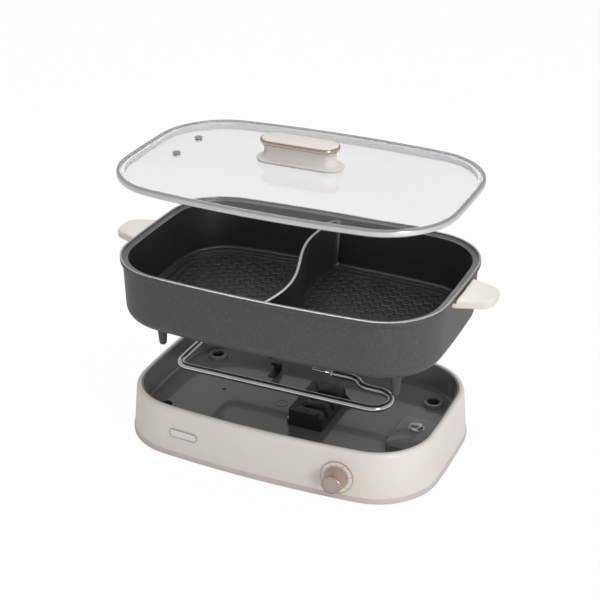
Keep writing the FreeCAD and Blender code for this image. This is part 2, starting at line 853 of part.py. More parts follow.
def dial_cap():
    tip = dial_ring_thickness + part_gap + knob_length
    profile = [(0, -cap_thickness), (cap_radius, -cap_thickness), (cap_radius, -cap_sink - cap_bevel),
               (cap_radius - cap_bevel, -cap_sink), (0, -cap_sink)]
    return placed(turned(profile, 0, 0, tip), dial_place)


def dial_shaft():
    top = dial_ring_thickness + part_gap + knob_bore
    return placed(cylinder(shaft_radius, top + shaft_depth, 0, 0, -shaft_depth), dial_place)


def control_unit():
    """Rotary heat control behind the wall, with the bush that passes through it."""
    wall = shell_wall + control_wall_gap
    half_x = control_width / 2
    half_y = control_height / 2
    body = round_plate(half_x, half_y, control_corner, -wall - control_depth, control_depth)
    bush_top = dial_ring_thickness + nut_thickness - fit_gap
    body = body.fuse(cylinder(bush_radius, wall + bush_top, 0, 0, -wall))
    bore = cylinder(shaft_radius + shaft_gap, base_height, 0, 0, -shaft_depth - 1)
    return placed(body.cut(bore), dial_place)


def control_nut():
    turns = [i * pi / 3 for i in range(6)]
    corners = [V(nut_radius * cos(t), nut_radius * sin(t), dial_ring_thickness) for t in turns]
    nut = Part.Face(Part.makePolygon(corners + corners[:1])).extrude(V(0, 0, nut_thickness))
    return placed(nut.cut(cylinder(bush_radius, knob_length, 0, 0, -dial_sink)), dial_place)


# Bare name plate
def name_plate():
    half_x = plate_length / 2 - plate_rim
    half_y = plate_height / 2 - plate_rim
    return placed(round_plate(half_x, half_y, half_y, -dial_sink, plate_thickness), plate_place)


def name_plate_rim():
    half_x = plate_length / 2
    half_y = plate_height / 2
    outer = round_plate(half_x, half_y, half_y, -dial_sink, plate_thickness + plate_rim_proud)
    half_x -= plate_rim
    half_y -= plate_rim
    inner = round_plate(half_x, half_y, half_y, -plate_length, 2 * plate_length)
    return placed(outer.cut(inner), plate_place)


# Power inlet
def inlet_envelope(grow):
    y1 = BASE[1] + shell_wall
    half_x = inlet_width / 2 + grow
    z0 = inlet_z - inlet_height / 2 - grow
    z1 = inlet_z + inlet_height / 2 + grow
    return block(inlet_x - half_x, inlet_x + half_x, y1 - 2 * inlet_depth, y1, z0, z1)


def inlet_face_y():
    """Outer face of the rear wall at the inlet."""
    half_width, long_radius = BASE[1], BASE[2]
    radius = long_radius - shell_inset_at(inlet_z)
    return half_width - long_radius + sqrt(radius ** 2 - inlet_x ** 2)


def power_inlet():
    face = inlet_face_y()
    half_x = inlet_width / 2
    half_z = inlet_height / 2
    back = face - inlet_depth
    body = block(inlet_x - half_x, inlet_x + half_x, back, face + inlet_proud,
                 inlet_z - half_z, inlet_z + half_z)
    half_x -= inlet_wall
    half_z -= inlet_wall
    cavity = block(inlet_x - half_x, inlet_x + half_x, back + inlet_back, BASE[1] + inlet_proud,
                   inlet_z - half_z, inlet_z + half_z)
    return body.cut(cavity)


def inlet_pins():
    back = inlet_face_y() - inlet_depth + inlet_back
    half_x = inlet_pin_width / 2
    half_z = inlet_pin_height / 2
    pins = []
    for x in (inlet_x - inlet_pitch, inlet_x, inlet_x + inlet_pitch):
        pins.append(block(x - half_x, x + half_x, back, back + inlet_pin_length,
                          inlet_z - half_z, inlet_z + half_z))
    return group(pins)


# Pot
def divider_x(y):
    return -divider_sway * sin(pi * y / divider_half_wave)


def divider_wall(z0, z1):
    """Wall that swings in a sine wave from the back wall to the front wall."""
    reach = POT[1] - pot_seat_inset + divider_bite
    count = 12
    sides = []
    for sign in (-1, 1):
        points = []
        for i in range(count + 1):
            y = reach * (1 - 2 * i / count) * sign
            slope = -divider_sway * pi / divider_half_wave * cos(pi * y / divider_half_wave)
            tilt = hypot(1, slope)
            x = divider_x(y) + sign * divider_thickness / 2 / tilt
            points.append(V(x, y - sign * slope * divider_thickness / 2 / tilt, z0))
        curve = Part.BSplineCurve()
        curve.interpolate(points)
        sides.append(curve.toShape())
    a0, a1 = sides[0].Vertexes[0].Point, sides[0].Vertexes[-1].Point
    b0, b1 = sides[1].Vertexes[0].Point, sides[1].Vertexes[-1].Point
    ends = [Part.LineSegment(a1, b0).toShape(), Part.LineSegment(b1, a0).toShape()]
    return Part.Face(Part.Wire([sides[0], ends[0], sides[1], ends[1]])).extrude(V(0, 0, z1 - z0))


def pot_outer():
    flat_inset = pot_bottom_inset + pot_bottom_round
    rounding = [(flat_inset - pot_bottom_round * sin(t), pot_z + pot_bottom_round * (1 - cos(t)))
                for t in (0, pi / 8, pi / 4, 3 * pi / 8, pi / 2)]
    under = pot_top - pot_flange_height
    rim = [(pot_top_inset, under), (0.0, under + pot_flange_slope), (0.0, pot_top - pot_rim_round),
           (pot_rim_round, pot_top)]
    return stack(POT, rounding + rim)


def pot_inner():
    ledge_z = pot_z + pot_ledge_height
    wall_inset = pot_seat_inset + pot_inner_draft
    step_inset = wall_inset + pot_ledge_width
    floor_z = pot_z + pot_floor_height
    foot = step_inset + pot_step_width
    bend = pot_corner * (1 - sqrt(0.5))
    return stack(POT, [(foot + pot_floor_round, floor_z), (foot, floor_z + pot_floor_round / 3),
                       (step_inset, ledge_z - pot_ledge_fall), (wall_inset + pot_corner, ledge_z - fit_gap),
                       (wall_inset + bend, ledge_z + bend), (wall_inset, ledge_z + pot_corner),
                       (pot_seat_inset, pot_seat_z + 1)])


def pot_body():
    well = pot_inner()
    wall = divider_wall(pot_z + pot_floor_height - 1, pot_top - divider_drop)
    body = pot_outer().cut(seat_solid()).cut(well).fuse(wall.common(pot_outer()))
    boss_length = pot_seated_z - button_top - part_gap
    body = body.fuse(cylinder(boss_radius, boss_length + 1, sensor_x, sensor_y, pot_z - boss_length))
    for side in (-1, 1):
        body = body.fuse(handle_lug(side, 0.0).cut(pot_cavity_block()))
    return body


def seat_solid():
    return stack(POT, [(pot_lip_width + seat_lean, pot_seat_z), (pot_lip_width, pot_top + 1)])


def pot_cavity_block():
    return stack(POT, [(pot_bottom_inset, pot_z), (pot_bottom_inset, pot_top)])


def pot_feet():
    feet = []
    for x, y in four(well_x, well_y):
        profile = [(0, -pot_foot_length), (pot_foot_tip_radius - pot_foot_nose, -pot_foot_length),
                   (pot_foot_tip_radius, pot_foot_nose - pot_foot_length), (pot_foot_root_radius, 0), (0, 0)]
        feet.append(turned(profile, x, y, pot_z))
    return group(feet)


# Side handles
def handle_top():
    return pot_top - handle_drop


def handle_lug(side, grow):
    """Cast tongue on the pot wall that the handle is screwed to."""
    x1 = POT[0] + lug_length + grow
    middle = handle_top() - handle_thickness / 2
    half = lug_thickness / 2 + grow
    side_y = lug_half_width + grow
    tongue = block(POT[0] - lug_root, x1, -side_y, side_y, middle - half, middle + half)
    return tongue if side > 0 else tongue.mirror(V(0, 0, 0), V(1, 0, 0))


def pot_handle(side):
    """Tab with a rounded outer edge that hugs the wall of the pot and covers the lug."""
    root = POT[0] - handle_root_depth
    tip = handle_tip_x
    low = handle_top() - handle_thickness
    half_plan = [(root, handle_root_half), (POT[0], handle_root_half), (tip, handle_tip_half)]
    corners = [V(x, -y, low) for x, y in half_plan] + [V(x, y, low) for x, y in reversed(half_plan)]
    prism = Part.Face(Part.makePolygon(corners + corners[:1])).extrude(V(0, 0, handle_thickness))
    outer_edges = [e for e in prism.Edges if e.BoundBox.XMax > tip - 1]
    upright = [e for e in outer_edges if e.BoundBox.ZLength > handle_thickness / 2]
    prism = prism.makeFillet(handle_corner, upright)
    rims = [e for e in prism.Edges if e.BoundBox.ZLength < 0.01 and e.BoundBox.XMax > POT[0] + 2]
    prism = prism.makeFillet(handle_edge, rims)
    keep = stack(POT, [(pot_top_inset, low - 1), (pot_top_inset, pot_top + 1)])
    under = pot_top - pot_flange_height
    clear = stack(POT, [(pot_bottom_inset, pot_z), (pot_top_inset - handle_touch, under)])
    flange = stack(POT, [(-handle_slit, under - handle_slit), (-handle_slit, pot_top + 1)])
    prism = prism.cut(clear).cut(flange).cut(handle_lug(1, fit_gap)).cut(keep)
    head_room = cylinder(handle_screw_radius + fit_gap, handle_screw_recess, handle_screw_place, 0, low)
    shank_room = cylinder(screw_shank_radius, handle_thickness / 2, handle_screw_place, 0, low)
    prism = prism.cut(head_room.fuse(shank_room))
    return prism if side > 0 else prism.mirror(V(0, 0, 0), V(1, 0, 0))


def handle_screws():
    seat = handle_top() - handle_thickness + handle_screw_recess
    screws = []
    for x in (-handle_screw_place, handle_screw_place):
        head = cylinder(handle_screw_radius, handle_screw_head, x, 0, seat - handle_screw_head)
        shank = cylinder(screw_shank_radius - shaft_gap, handle_screw_shank, x, 0, seat)
        screws.append(head.fuse(shank))
    return group(screws)


# Lid
def lid_glass():
    under = [(inset + glass_lean, glass_z + rise - glass_thickness) for inset, rise in dome[2:]]
    edge_inset = dome[0][0] + glass_edge_width
    edge_z = glass_z + dome[1][1] - glass_thickness
    body = stack(LID, [(glass_edge_inset, glass_z - glass_thickness + glass_edge_round)]
                 + [(inset, glass_z + rise) for inset, rise in dome])
    slab = body.cut(stack(LID, [(edge_inset, glass_z - glass_thickness - 1), (edge_inset, edge_z)]))
    slab = slab.cut(stack(LID, [(edge_inset, edge_z - tiny)] + under))
    for y in (-vent_y, vent_y):
        slab = slab.cut(cylinder(vent_neck + tiny, pot_height, -vent_x, y, lid_z))
    for x in (-handle_screw_x, handle_screw_x):
        slab = slab.cut(cylinder(lid_screw_hole, pot_height, x, 0, lid_z))
    return slab


def lid_rim():
    top = lid_z + lid_rim_height
    outer = stack(LID, [(lid_rim_bevel, lid_z), (0.0, lid_z + lid_rim_bevel), (0.0, top - 2 * lid_rim_bevel),
                        (lid_rim_bevel / 2, top - lid_rim_bevel / 2), (1.5 * lid_rim_bevel, top)])
    hole = stack(LID, [(lid_rim_width, lid_z - 1), (lid_rim_width, top + 1)])
    low = glass_z - glass_thickness + glass_edge_round
    groove = stack(LID, [(glass_edge_inset, low), (glass_edge_inset, glass_z),
                         (lid_rim_width + fit_gap, glass_z + dome[1][1])])
    return outer.cut(hole).cut(groove)


def lid_seal():
    bottom = lid_z - pot_seat_drop + seal_play
    top = glass_z - glass_thickness + seal_bite
    inner = seal_inset + seal_width
    outer = stack(LID, [(seal_inset + seal_bevel, bottom), (seal_inset, bottom + seal_bevel),
                        (seal_inset, top)])
    return outer.cut(stack(LID, [(inner, bottom - 1), (inner, top + 1)]))


def glass_top_at(inset):
    for (i0, r0), (i1, r1) in zip(dome, dome[1:]):
        if i0 <= inset <= i1:
            return glass_z + r0 + (r1 - r0) * (inset - i0) / (i1 - i0)
    return glass_z + dome[-1][1]


def vent_grommets():
    """Metal eyelets: a neck through the glass with a lip above and below it."""
    top = glass_top_at(LID[0] - vent_x)
    neck = vent_neck - vent_play
    lip = vent_radius - vent_bevel
    under = -glass_thickness - vent_slack
    profile = [(vent_bore, under - vent_lip), (lip, under - vent_lip), (lip, under), (neck, under),
               (neck, vent_slack), (vent_radius, vent_slack), (lip, vent_slack + vent_lip),
               (vent_bore + vent_bevel, vent_slack + vent_lip), (vent_bore, vent_lip)]
    return group(turned(profile, -vent_x, y, top) for y in (-vent_y, vent_y))


def slot_slab(half_length, half_width, z, height):
    return Part.Face(stadium(half_length, half_width, z)).extrude(V(0, 0, height))


def lid_handle_gasket():
    pad = slot_slab(handle_flange_half - 1, handle_flange_width - 1, handle_seat_z, handle_gasket)
    for x in (-handle_screw_x, handle_screw_x):
        pad = pad.cut(cylinder(lid_screw_hole, 2 * handle_gasket, x, 0, handle_seat_z))
    return pad


def lid_handle():
    """Foot flange, waisted stem and the core of the head."""
    z = handle_seat_z + handle_gasket
    top = z + handle_flange_height
    edge = flange_edge
    half = handle_flange_half
    width = handle_flange_width
    stem = [(half - edge, width - edge, z), (half, width, z + edge), (half - edge, width - edge, top - edge),
            (half - flange_step, width - 0.75 * flange_step, top)]
    for share, bulge in stem_curve:
        upper = share > 0.5
        end_half = handle_cap_half if upper else half - flange_step
        end_width = handle_cap_width if upper else width - 0.75 * flange_step
        stem.append((handle_waist_half + (end_half - handle_waist_half) * bulge,
                     handle_waist_width + (end_width - handle_waist_width) * bulge,
                     top + handle_stem_height * share))
    core_half = handle_cap_half - handle_core_inset
    core_width = handle_cap_width - handle_core_inset
    body = stadium_stack(stem).fuse(slot_slab(core_half, core_width, handle_head_z, handle_trim_height))
    for x in (-handle_screw_x, handle_screw_x):
        body = body.cut(cylinder(screw_shank_radius, lid_screw_bite + screw_shank_radius, x, 0, z))
    return body


def lid_handle_trim():
    """Metal band round the head of the handle."""
    top = handle_head_z + handle_trim_height
    edge = trim_edge
    half = handle_cap_half
    width = handle_cap_width
    outer = stadium_stack([(half - edge, width - edge, handle_head_z), (half, width, handle_head_z + edge),
                           (half, width, top - edge), (half - edge, width - edge, top)])
    inner = slot_slab(half - handle_core_inset, width - handle_core_inset, handle_head_z - 1,
                      handle_trim_height + 2)
    return outer.cut(inner)


def lid_handle_cap():
    z = handle_head_z + handle_trim_height
    rows = ((handle_core_inset, 0.0), (handle_core_inset + cap_edge, cap_edge), (cap_slope, handle_cap_rise))
    half = handle_cap_half
    width = handle_cap_width
    return stadium_stack([(half - inset, width - inset, z + rise) for inset, rise in rows])


def lid_handle_screws():
    seat = handle_seat_z - glass_thickness
    screws = []
    for x in (-handle_screw_x, handle_screw_x):
        washer = cylinder(screw_head_radius + lid_washer_width, lid_washer_thickness, x, 0,
                          seat - lid_washer_thickness)
        head = cylinder(screw_head_radius, lid_screw_head, x, 0, seat - lid_washer_thickness - lid_screw_head)
        length = glass_thickness + handle_gasket + lid_screw_bite
        shank = cylinder(screw_shank_radius, length, x, 0, seat - lid_washer_thickness / 2)
        screws.append(washer.fuse(head).fuse(shank))
    return group(screws)


nodes = (
    ("base_shell", base_shell), ("base_trim_band", base_trim_band), ("bottom_plate", bottom_plate),
    ("rubber_feet", rubber_feet), ("bottom_screws", bottom_screws), ("inner_tray", inner_tray),
    ("socket_cups", socket_cups), ("sensor_collar", sensor_collar), ("sensor_button", sensor_button),
    ("sensor_guide", sensor_guide), ("sensor_spring", sensor_spring), ("terminal_block", terminal_block),
    ("terminal_contacts", terminal_contacts), ("block_screws", block_screws), ("heater_tube", heater_tube),
    ("heater_pins", heater_pins), ("heater_seals", heater_seals), ("heater_rest", heater_rest),
    ("dial_ring", dial_ring), ("dial_trim", dial_trim), ("dial_knob", dial_knob), ("dial_cap", dial_cap),
    ("dial_shaft", dial_shaft), ("control_unit", control_unit), ("control_nut", control_nut),
    ("name_plate", name_plate), ("name_plate_rim", name_plate_rim), ("power_inlet", power_inlet),
    ("inlet_pins", inlet_pins), ("pot_body", pot_body), ("pot_feet", pot_feet),
    ("pot_handle_left", lambda: pot_handle(-1)), ("pot_handle_right", lambda: pot_handle(1)),
    ("handle_screws", handle_screws), ("lid_glass", lid_glass), ("lid_rim", lid_rim), ("lid_seal", lid_seal),
    ("vent_grommets", vent_grommets), ("lid_handle_gasket", lid_handle_gasket), ("lid_handle", lid_handle),
    ("lid_handle_trim", lid_handle_trim), ("lid_handle_cap", lid_handle_cap),
    ("lid_handle_screws", lid_handle_screws),
)
for name, make in nodes:
    save(name, make())
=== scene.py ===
import json
from math import asin, atan2, cos, hypot, pi, radians, sin, sqrt
import bmesh
import bpy
import numpy as np
from mathutils import Matrix, Vector

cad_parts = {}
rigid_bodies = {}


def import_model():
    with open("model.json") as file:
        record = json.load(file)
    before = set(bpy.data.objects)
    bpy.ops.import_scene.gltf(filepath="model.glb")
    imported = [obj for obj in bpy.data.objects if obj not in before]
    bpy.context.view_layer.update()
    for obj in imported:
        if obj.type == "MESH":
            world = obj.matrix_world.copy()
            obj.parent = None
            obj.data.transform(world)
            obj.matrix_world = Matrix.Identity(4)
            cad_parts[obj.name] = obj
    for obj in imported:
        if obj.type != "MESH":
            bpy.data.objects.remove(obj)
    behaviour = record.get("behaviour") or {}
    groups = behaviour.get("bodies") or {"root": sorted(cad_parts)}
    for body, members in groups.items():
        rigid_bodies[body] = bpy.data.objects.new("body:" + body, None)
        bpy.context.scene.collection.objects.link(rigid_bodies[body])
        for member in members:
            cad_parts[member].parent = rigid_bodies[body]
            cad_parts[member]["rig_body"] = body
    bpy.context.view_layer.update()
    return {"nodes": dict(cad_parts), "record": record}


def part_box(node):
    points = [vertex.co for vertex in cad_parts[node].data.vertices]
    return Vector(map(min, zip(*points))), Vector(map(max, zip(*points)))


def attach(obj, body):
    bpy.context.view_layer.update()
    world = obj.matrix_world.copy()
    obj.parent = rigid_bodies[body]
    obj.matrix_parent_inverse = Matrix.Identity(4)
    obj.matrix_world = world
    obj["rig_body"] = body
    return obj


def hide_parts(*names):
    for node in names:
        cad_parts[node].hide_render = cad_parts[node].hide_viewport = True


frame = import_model()
print("frame loaded with", len(frame["nodes"]), "nodes")
mm = 0.001

# Split electric hot pot, lifted apart as for a catalogue: base, tube heater, pot, glass lid

# Camera
view = {"place": (0.5899, -1.3127, 0.9005), "lookAt": (0.0, 0.0, 0.1707), "lens": 85.04}
cameraData = bpy.data.cameras.new("photoCamera")
cameraData.lens = view["lens"]
cameraData.sensor_width = 36
cameraData.clip_start = 0.05
photoCamera = bpy.data.objects.new("photoCamera", cameraData)
bpy.context.scene.collection.objects.link(photoCamera)
photoCamera.location = view["place"]
photoCamera.rotation_mode = "QUATERNION"
photoCamera.rotation_quaternion = (Vector(view["lookAt"]) - Vector(view["place"])).to_track_quat("-Z", "Y")
bpy.context.scene.camera = photoCamera
bpy.context.scene.view_settings.view_transform = "Standard"
print("camera placed")


# Shader maths
class Wire:  # a socket that adds its own Math nodes
    def __init__(self, finish, socket):
        self.finish = finish
        self.socket = socket

    def maths(self, operation, *others):
        return self.finish.node("ShaderNodeMath", {"operation": operation}, [self, *others])

    def __add__(self, other):
        return self.maths("ADD", other)

    __radd__ = __add__

    def __mul__(self, other):
        return self.maths("MULTIPLY", other)

    def __rsub__(self, other):
        return self.finish.node("ShaderNodeMath", {"operation": "SUBTRACT"}, [other, self])

    def between(self, low, high):  # 0 below low, 1 above high, smooth in the middle
        return self.finish.node("ShaderNodeMapRange", {"interpolation_type": "SMOOTHSTEP"},
                                {"Value": self, "From Min": low, "From Max": high})


class Finish:  # one material, built node by node
    def __init__(self, name):
        self.material = bpy.data.materials.new(name)
        self.material.use_nodes = True
        self.nodes = self.material.node_tree.nodes
        self.links = self.material.node_tree.links
        self.shader = self.nodes["Principled BSDF"]
        self.output = self.nodes["Material Output"]

    def node(self, kind, settings, inputs, out=0):
        made = self.nodes.new(kind)
        for key, value in settings.items():
            setattr(made, key, value)
        pairs = inputs.items() if isinstance(inputs, dict) else enumerate(inputs)
        for key, value in pairs:
            self.feed(made.inputs[key], value)
        return Wire(self, made.outputs[out])

    def feed(self, socket, value):
        if isinstance(value, Wire):
            self.links.new(value.socket, socket)
        elif socket.type == "RGBA" and len(value) == 3:
            socket.default_value = (*value, 1.0)
        else:
            socket.default_value = value

    def coords(self, size=(1.0, 1.0, 1.0)):
        spot = self.node("ShaderNodeTexCoord", {}, {}, "Object")
        return self.node("ShaderNodeMapping", {}, {"Vector": spot, "Scale": size})

    def axes(self):  # x, y and z of the point, in metres
        spot = self.coords()
        return [self.node("ShaderNodeSeparateXYZ", {}, {"Vector": spot}, axis) for axis in range(3)]

    def noise(self, scale, detail=2.0, rough=0.5, size=(1.0, 1.0, 1.0)):
        return self.node("ShaderNodeTexNoise", {}, {"Vector": self.coords(size), "Scale": scale,
                                                    "Detail": detail, "Roughness": rough})

    def blend(self, share, first, second):
        mixed = self.nodes.new("ShaderNodeMix")
        mixed.data_type = "RGBA"
        for key, value in ((0, share), (6, first), (7, second)):
            self.feed(mixed.inputs[key], value)
        return Wire(self, mixed.outputs[2])

    def bump(self, height, strength, distance):
        return self.node("ShaderNodeBump", {}, {"Height": height, "Strength": strength,
                                                "Distance": distance})

    def mixShaders(self, share, first, second):
        mix = self.nodes.new("ShaderNodeMixShader")
        self.feed(mix.inputs[0], share)
        self.links.new(first.outputs[0], mix.inputs[1])
        self.links.new(second.outputs[0], mix.inputs[2])
        self.links.new(mix.outputs[0], self.output.inputs["Surface"])

    def rayKind(self, name):  # 1 for rays of that kind, 0 for others
        return self.node("ShaderNodeLightPath", {}, {}, name)

    def lacquer(self, weight, rough):
        self.shader.inputs["Coat Weight"].default_value = weight
        self.shader.inputs["Coat Roughness"].default_value = rough

    def surface(self, **sockets):
        for key, value in sockets.items():
            self.feed(self.shader.inputs[key.replace("_", " ")], value)
        return self.material


def creamPlastic(name, colour, shade, grainDepth):
    # Satin moulded plastic: faint cloudiness in the colour and a very fine pore grain
    f = Finish(name)
    cloud = f.noise(22.0, 3.0)
    grain = f.noise(2600.0, 2.0, 0.6)
    f.lacquer(0.25, 0.28)
    return f.surface(Base_Color=f.blend(cloud.between(0.3, 0.7), colour, shade),
                     Roughness=0.40 + grain * 0.10, Normal=f.bump(grain, 0.12, grainDepth))


def brushedMetal(name, colour, dark, rough, along):
    # Metal with fine brushing along one direction and slow changes of shine
    f = Finish(name)
    strokes = f.noise(900.0, 3.0, 0.7, along)
    cloud = f.noise(30.0)
    return f.surface(Base_Color=f.blend(cloud.between(0.35, 0.65), colour, dark), Metallic=1.0,
                     Roughness=rough + strokes * 0.10, Normal=f.bump(strokes, 0.03, 0.00004))


def glossyDark(name, colour, rough, coat):
    # Lacquered dark surface: orange peel in the lacquer, a little dust in the roughness
    f = Finish(name)
    peel = f.noise(260.0, 1.0)
    dust = f.noise(1800.0, 2.0)
    f.lacquer(coat, 0.06)
    dusty = tuple(c * 1.25 for c in colour)
    return f.surface(Base_Color=f.blend(dust.between(0.45, 0.75), colour, dusty),
                     Roughness=rough + dust * 0.12, Normal=f.bump(peel, 0.05, 0.0002))


def potStone(name, colour, speck, rough):
    # Non-stick coating: dark ground with pale flecks of two sizes and a grain that breaks up the shine
    f = Finish(name)
    fine = f.noise(1300.0, 2.0, 0.7)
    coarse = f.noise(520.0, 2.0, 0.6)
    flecks = fine.between(0.52, 0.68) * 0.7 + coarse.between(0.60, 0.72) * 0.15
    return f.surface(Base_Color=f.blend(flecks, colour, speck), Roughness=rough + fine * 0.18,
                     Normal=f.bump(fine + coarse * 0.6, 0.35, 0.00012))


def potLining(name, colour, speck, floorTop, pitch):
    # The same coating inside: darker and shinier, with shallow six-sided cells pressed into both floors.
    # Three cosine waves at 60 degrees add up to the cells, and the point's height keeps them on the floor.
    f = Finish(name)
    fine = f.noise(1100.0, 2.0, 0.7)
    flecks = fine.between(0.58, 0.70)
    x, y, z = f.axes()
    k = 4 * pi / (sqrt(3) * pitch)
    headings = (0.0, pi / 3, 2 * pi / 3)
    waves = [(x * (k * cos(t)) + y * (k * sin(t))).maths("COSINE") for t in headings]
    cells = (waves[0] + waves[1] + waves[2]).between(-1.6, -0.2)
    onFloor = 1.0 - z.between(floorTop, floorTop + 0.0005)
    f.lacquer(0.25, 0.22)
    return f.surface(Base_Color=f.blend(flecks, colour, speck), Roughness=0.34 + fine * 0.16,
                     Normal=f.bump(fine * 0.05 + cells * onFloor, 0.9, 0.0014))


def clearGlass(name):
    # Tempered glass: light passes straight through for shadows, so the pot under it isn't darkened
    f = Finish(name)
    haze = f.noise(8.0, 1.0)
    f.shader.inputs["Transmission Weight"].default_value = 1.0
    f.shader.inputs["IOR"].default_value = 1.45
    f.surface(Base_Color=(0.90, 0.90, 0.905), Roughness=haze * 0.02)
    clear = f.nodes.new("ShaderNodeBsdfTransparent")
    clear.inputs["Color"].default_value = (0.96, 0.97, 0.97, 1.0)
    f.mixShaders(f.rayKind("Is Shadow Ray"), f.shader, clear)
    return f.material


even, upright = (1, 1, 1), (1, 1, 12)  # how fast the brushing changes along x, y and z
finishes = {
    "cream": creamPlastic("creamHousing", (0.79, 0.75, 0.685), (0.77, 0.73, 0.665), 0.0001),
    "rose_gold": brushedMetal("roseGold", (0.64, 0.49, 0.43), (0.58, 0.44, 0.38), 0.22, upright),
    "taupe": creamPlastic("taupeCap", (0.42, 0.36, 0.32), (0.40, 0.34, 0.30), 0.0001),
    "dial_white": creamPlastic("dialWhite", (0.82, 0.80, 0.78), (0.80, 0.78, 0.76), 0.00005),
    "black": glossyDark("trayBlack", (0.016, 0.015, 0.016), 0.16, 0.6),
    "black_matte": creamPlastic("mattBlack", (0.012, 0.012, 0.012), (0.016, 0.016, 0.016), 0.0002),
    "plate_grey": creamPlastic("plateGrey", (0.34, 0.32, 0.31), (0.32, 0.30, 0.29), 0.0001),
    "rubber": creamPlastic("rubberFeet", (0.03, 0.03, 0.03), (0.04, 0.04, 0.04), 0.0003),
    "silicone": creamPlastic("siliconeClear", (0.70, 0.71, 0.72), (0.68, 0.69, 0.70), 0.0002),
    "chrome": brushedMetal("heaterChrome", (0.70, 0.69, 0.70), (0.62, 0.61, 0.62), 0.10, even),
    "steel": brushedMetal("rimSteel", (0.72, 0.72, 0.73), (0.68, 0.68, 0.69), 0.14, even),
    "brass": brushedMetal("contactBrass", (0.62, 0.46, 0.20), (0.52, 0.38, 0.17), 0.25, (1, 1, 6)),
    "ceramic": creamPlastic("ceramicSeal", (0.70, 0.68, 0.64), (0.66, 0.64, 0.60), 0.0003),
    "pot_grey": potStone("potStone", (0.052, 0.052, 0.054), (0.17, 0.17, 0.175), 0.38),
    "glass": clearGlass("lidGlass"),
}
extraFinishes = {
    "potInside": potLining("potInside", (0.014, 0.014, 0.015), (0.06, 0.06, 0.062), 0.1607, 0.0125),
    "seatGrey": brushedMetal("seatGrey", (0.36, 0.36, 0.37), (0.30, 0.30, 0.31), 0.30, even),
    # The tray's black plastic gets a mid dark grey base colour: a painted reflection standing in for the
    # sheen on its glossy floor
    "trayPaintedSheen": glossyDark("trayPaintedSheen", (0.165, 0.162, 0.167), 0.14, 0.8),
    "machinedEdge": brushedMetal("machinedEdge", (0.80, 0.80, 0.81), (0.70, 0.70, 0.71), 0.22, even),
    "buttonMetal": brushedMetal("buttonMetal", (0.86, 0.86, 0.86), (0.80, 0.80, 0.80), 0.30, even),
    "bandRose": creamPlastic("bandRose", (0.66, 0.55, 0.52), (0.62, 0.51, 0.48), 0.00008),
    "dialInk": creamPlastic("dialInk", (0.10, 0.09, 0.09), (0.12, 0.11, 0.11), 0.00005),
}
print("finishes ready")


# Meshes
def gridFaces(rows, columns, roundRows=False):
    # Quads between neighbours of a rows by columns grid whose columns close on themselves
    r, c = np.meshgrid(np.arange(rows if roundRows else rows - 1), np.arange(columns), indexing="ij")
    up, on = (r + 1) % rows, (c + 1) % columns
    corners = (r * columns + c, r * columns + on, up * columns + on, up * columns + c)
    return np.stack(corners, axis=-1).reshape(-1, 4)


def surfaceMesh(name, pieces, smoothAngle=38.0, finishOf=None):
    # One mesh from grids of points in millimetres: doubles at seams and poles merged, faces turned outwards
    spots = np.concatenate([p.reshape(-1, 3) for p, _ in pieces]) * mm
    starts = np.cumsum([0] + [p.size // 3 for p, _ in pieces])[:-1]
    quads = np.concatenate([q + s for (_, q), s in zip(pieces, starts)])
    mesh = bpy.data.meshes.new(name)
    mesh.vertices.add(len(spots))
    mesh.vertices.foreach_set("co", spots.astype(np.float32).ravel())
    mesh.loops.add(quads.size)
    mesh.loops.foreach_set("vertex_index", quads.astype(np.int32).ravel())
    mesh.polygons.add(len(quads))
    mesh.polygons.foreach_set("loop_start", np.arange(0, quads.size, 4, dtype=np.int32))
    if finishOf is not None:
        mesh.polygons.foreach_set("material_index", np.asarray(finishOf, dtype=np.int32))
    mesh.update(calc_edges=True)
    tidy(mesh, smoothAngle)
    return mesh


def tidy(mesh, smoothAngle, gap=1e-6, turnOut=True):
    # Doubles and slivers merged, faces turned outwards, edges past the angle kept sharp
    b = bmesh.new()
    b.from_mesh(mesh)
    bmesh.ops.remove_doubles(b, verts=b.verts, dist=gap)
    bmesh.ops.dissolve_degenerate(b, edges=b.edges, dist=1e-7)
    if turnOut:
        bmesh.ops.recalc_face_normals(b, faces=b.faces)
    b.to_mesh(mesh)
    b.free()
    mesh.shade_smooth()
    mesh.set_sharp_from_angle(angle=radians(smoothAngle))
    mesh.update()


def addPiece(name, mesh, slotName, body, nodes, *materials):
    # A visible piece on its body, with its slot's finish or the finishes that its faces number
    piece = bpy.data.objects.new(name, mesh)
    bpy.context.scene.collection.objects.link(piece)
    spots = np.zeros(len(mesh.polygons), np.int32)
    mesh.polygons.foreach_get("material_index", spots)
    mesh.materials.clear()
    for material in materials or (finishes[slotName],):
        mesh.materials.append(material)
    mesh.polygons.foreach_set("material_index", spots)
    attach(piece, body)
    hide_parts(*nodes)
    return piece


def dressed(node, edge=0.0, material=None):
    # A merged copy of a node in its place, its edges over the angle rounded
    angle = 32.0
    source = frame["nodes"][node]
    mesh = source.data.copy()
    mesh.name = node + "Dressed"
    tidy(mesh, angle, 2e-6, False)
    mesh.polygons.foreach_set("material_index", np.zeros(len(mesh.polygons), np.int32))
    materials = [material] if material else []
    piece = addPiece(node + "Dressed", mesh, slots[node], source["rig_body"], [node], *materials)
    if edge:
        bevel = piece.modifiers.new("edges", "BEVEL")
        bevel.width = edge * mm
        bevel.segments = 2
        bevel.limit_method = "ANGLE"
        bevel.angle_limit = radians(angle)
        bevel.harden_normals = True


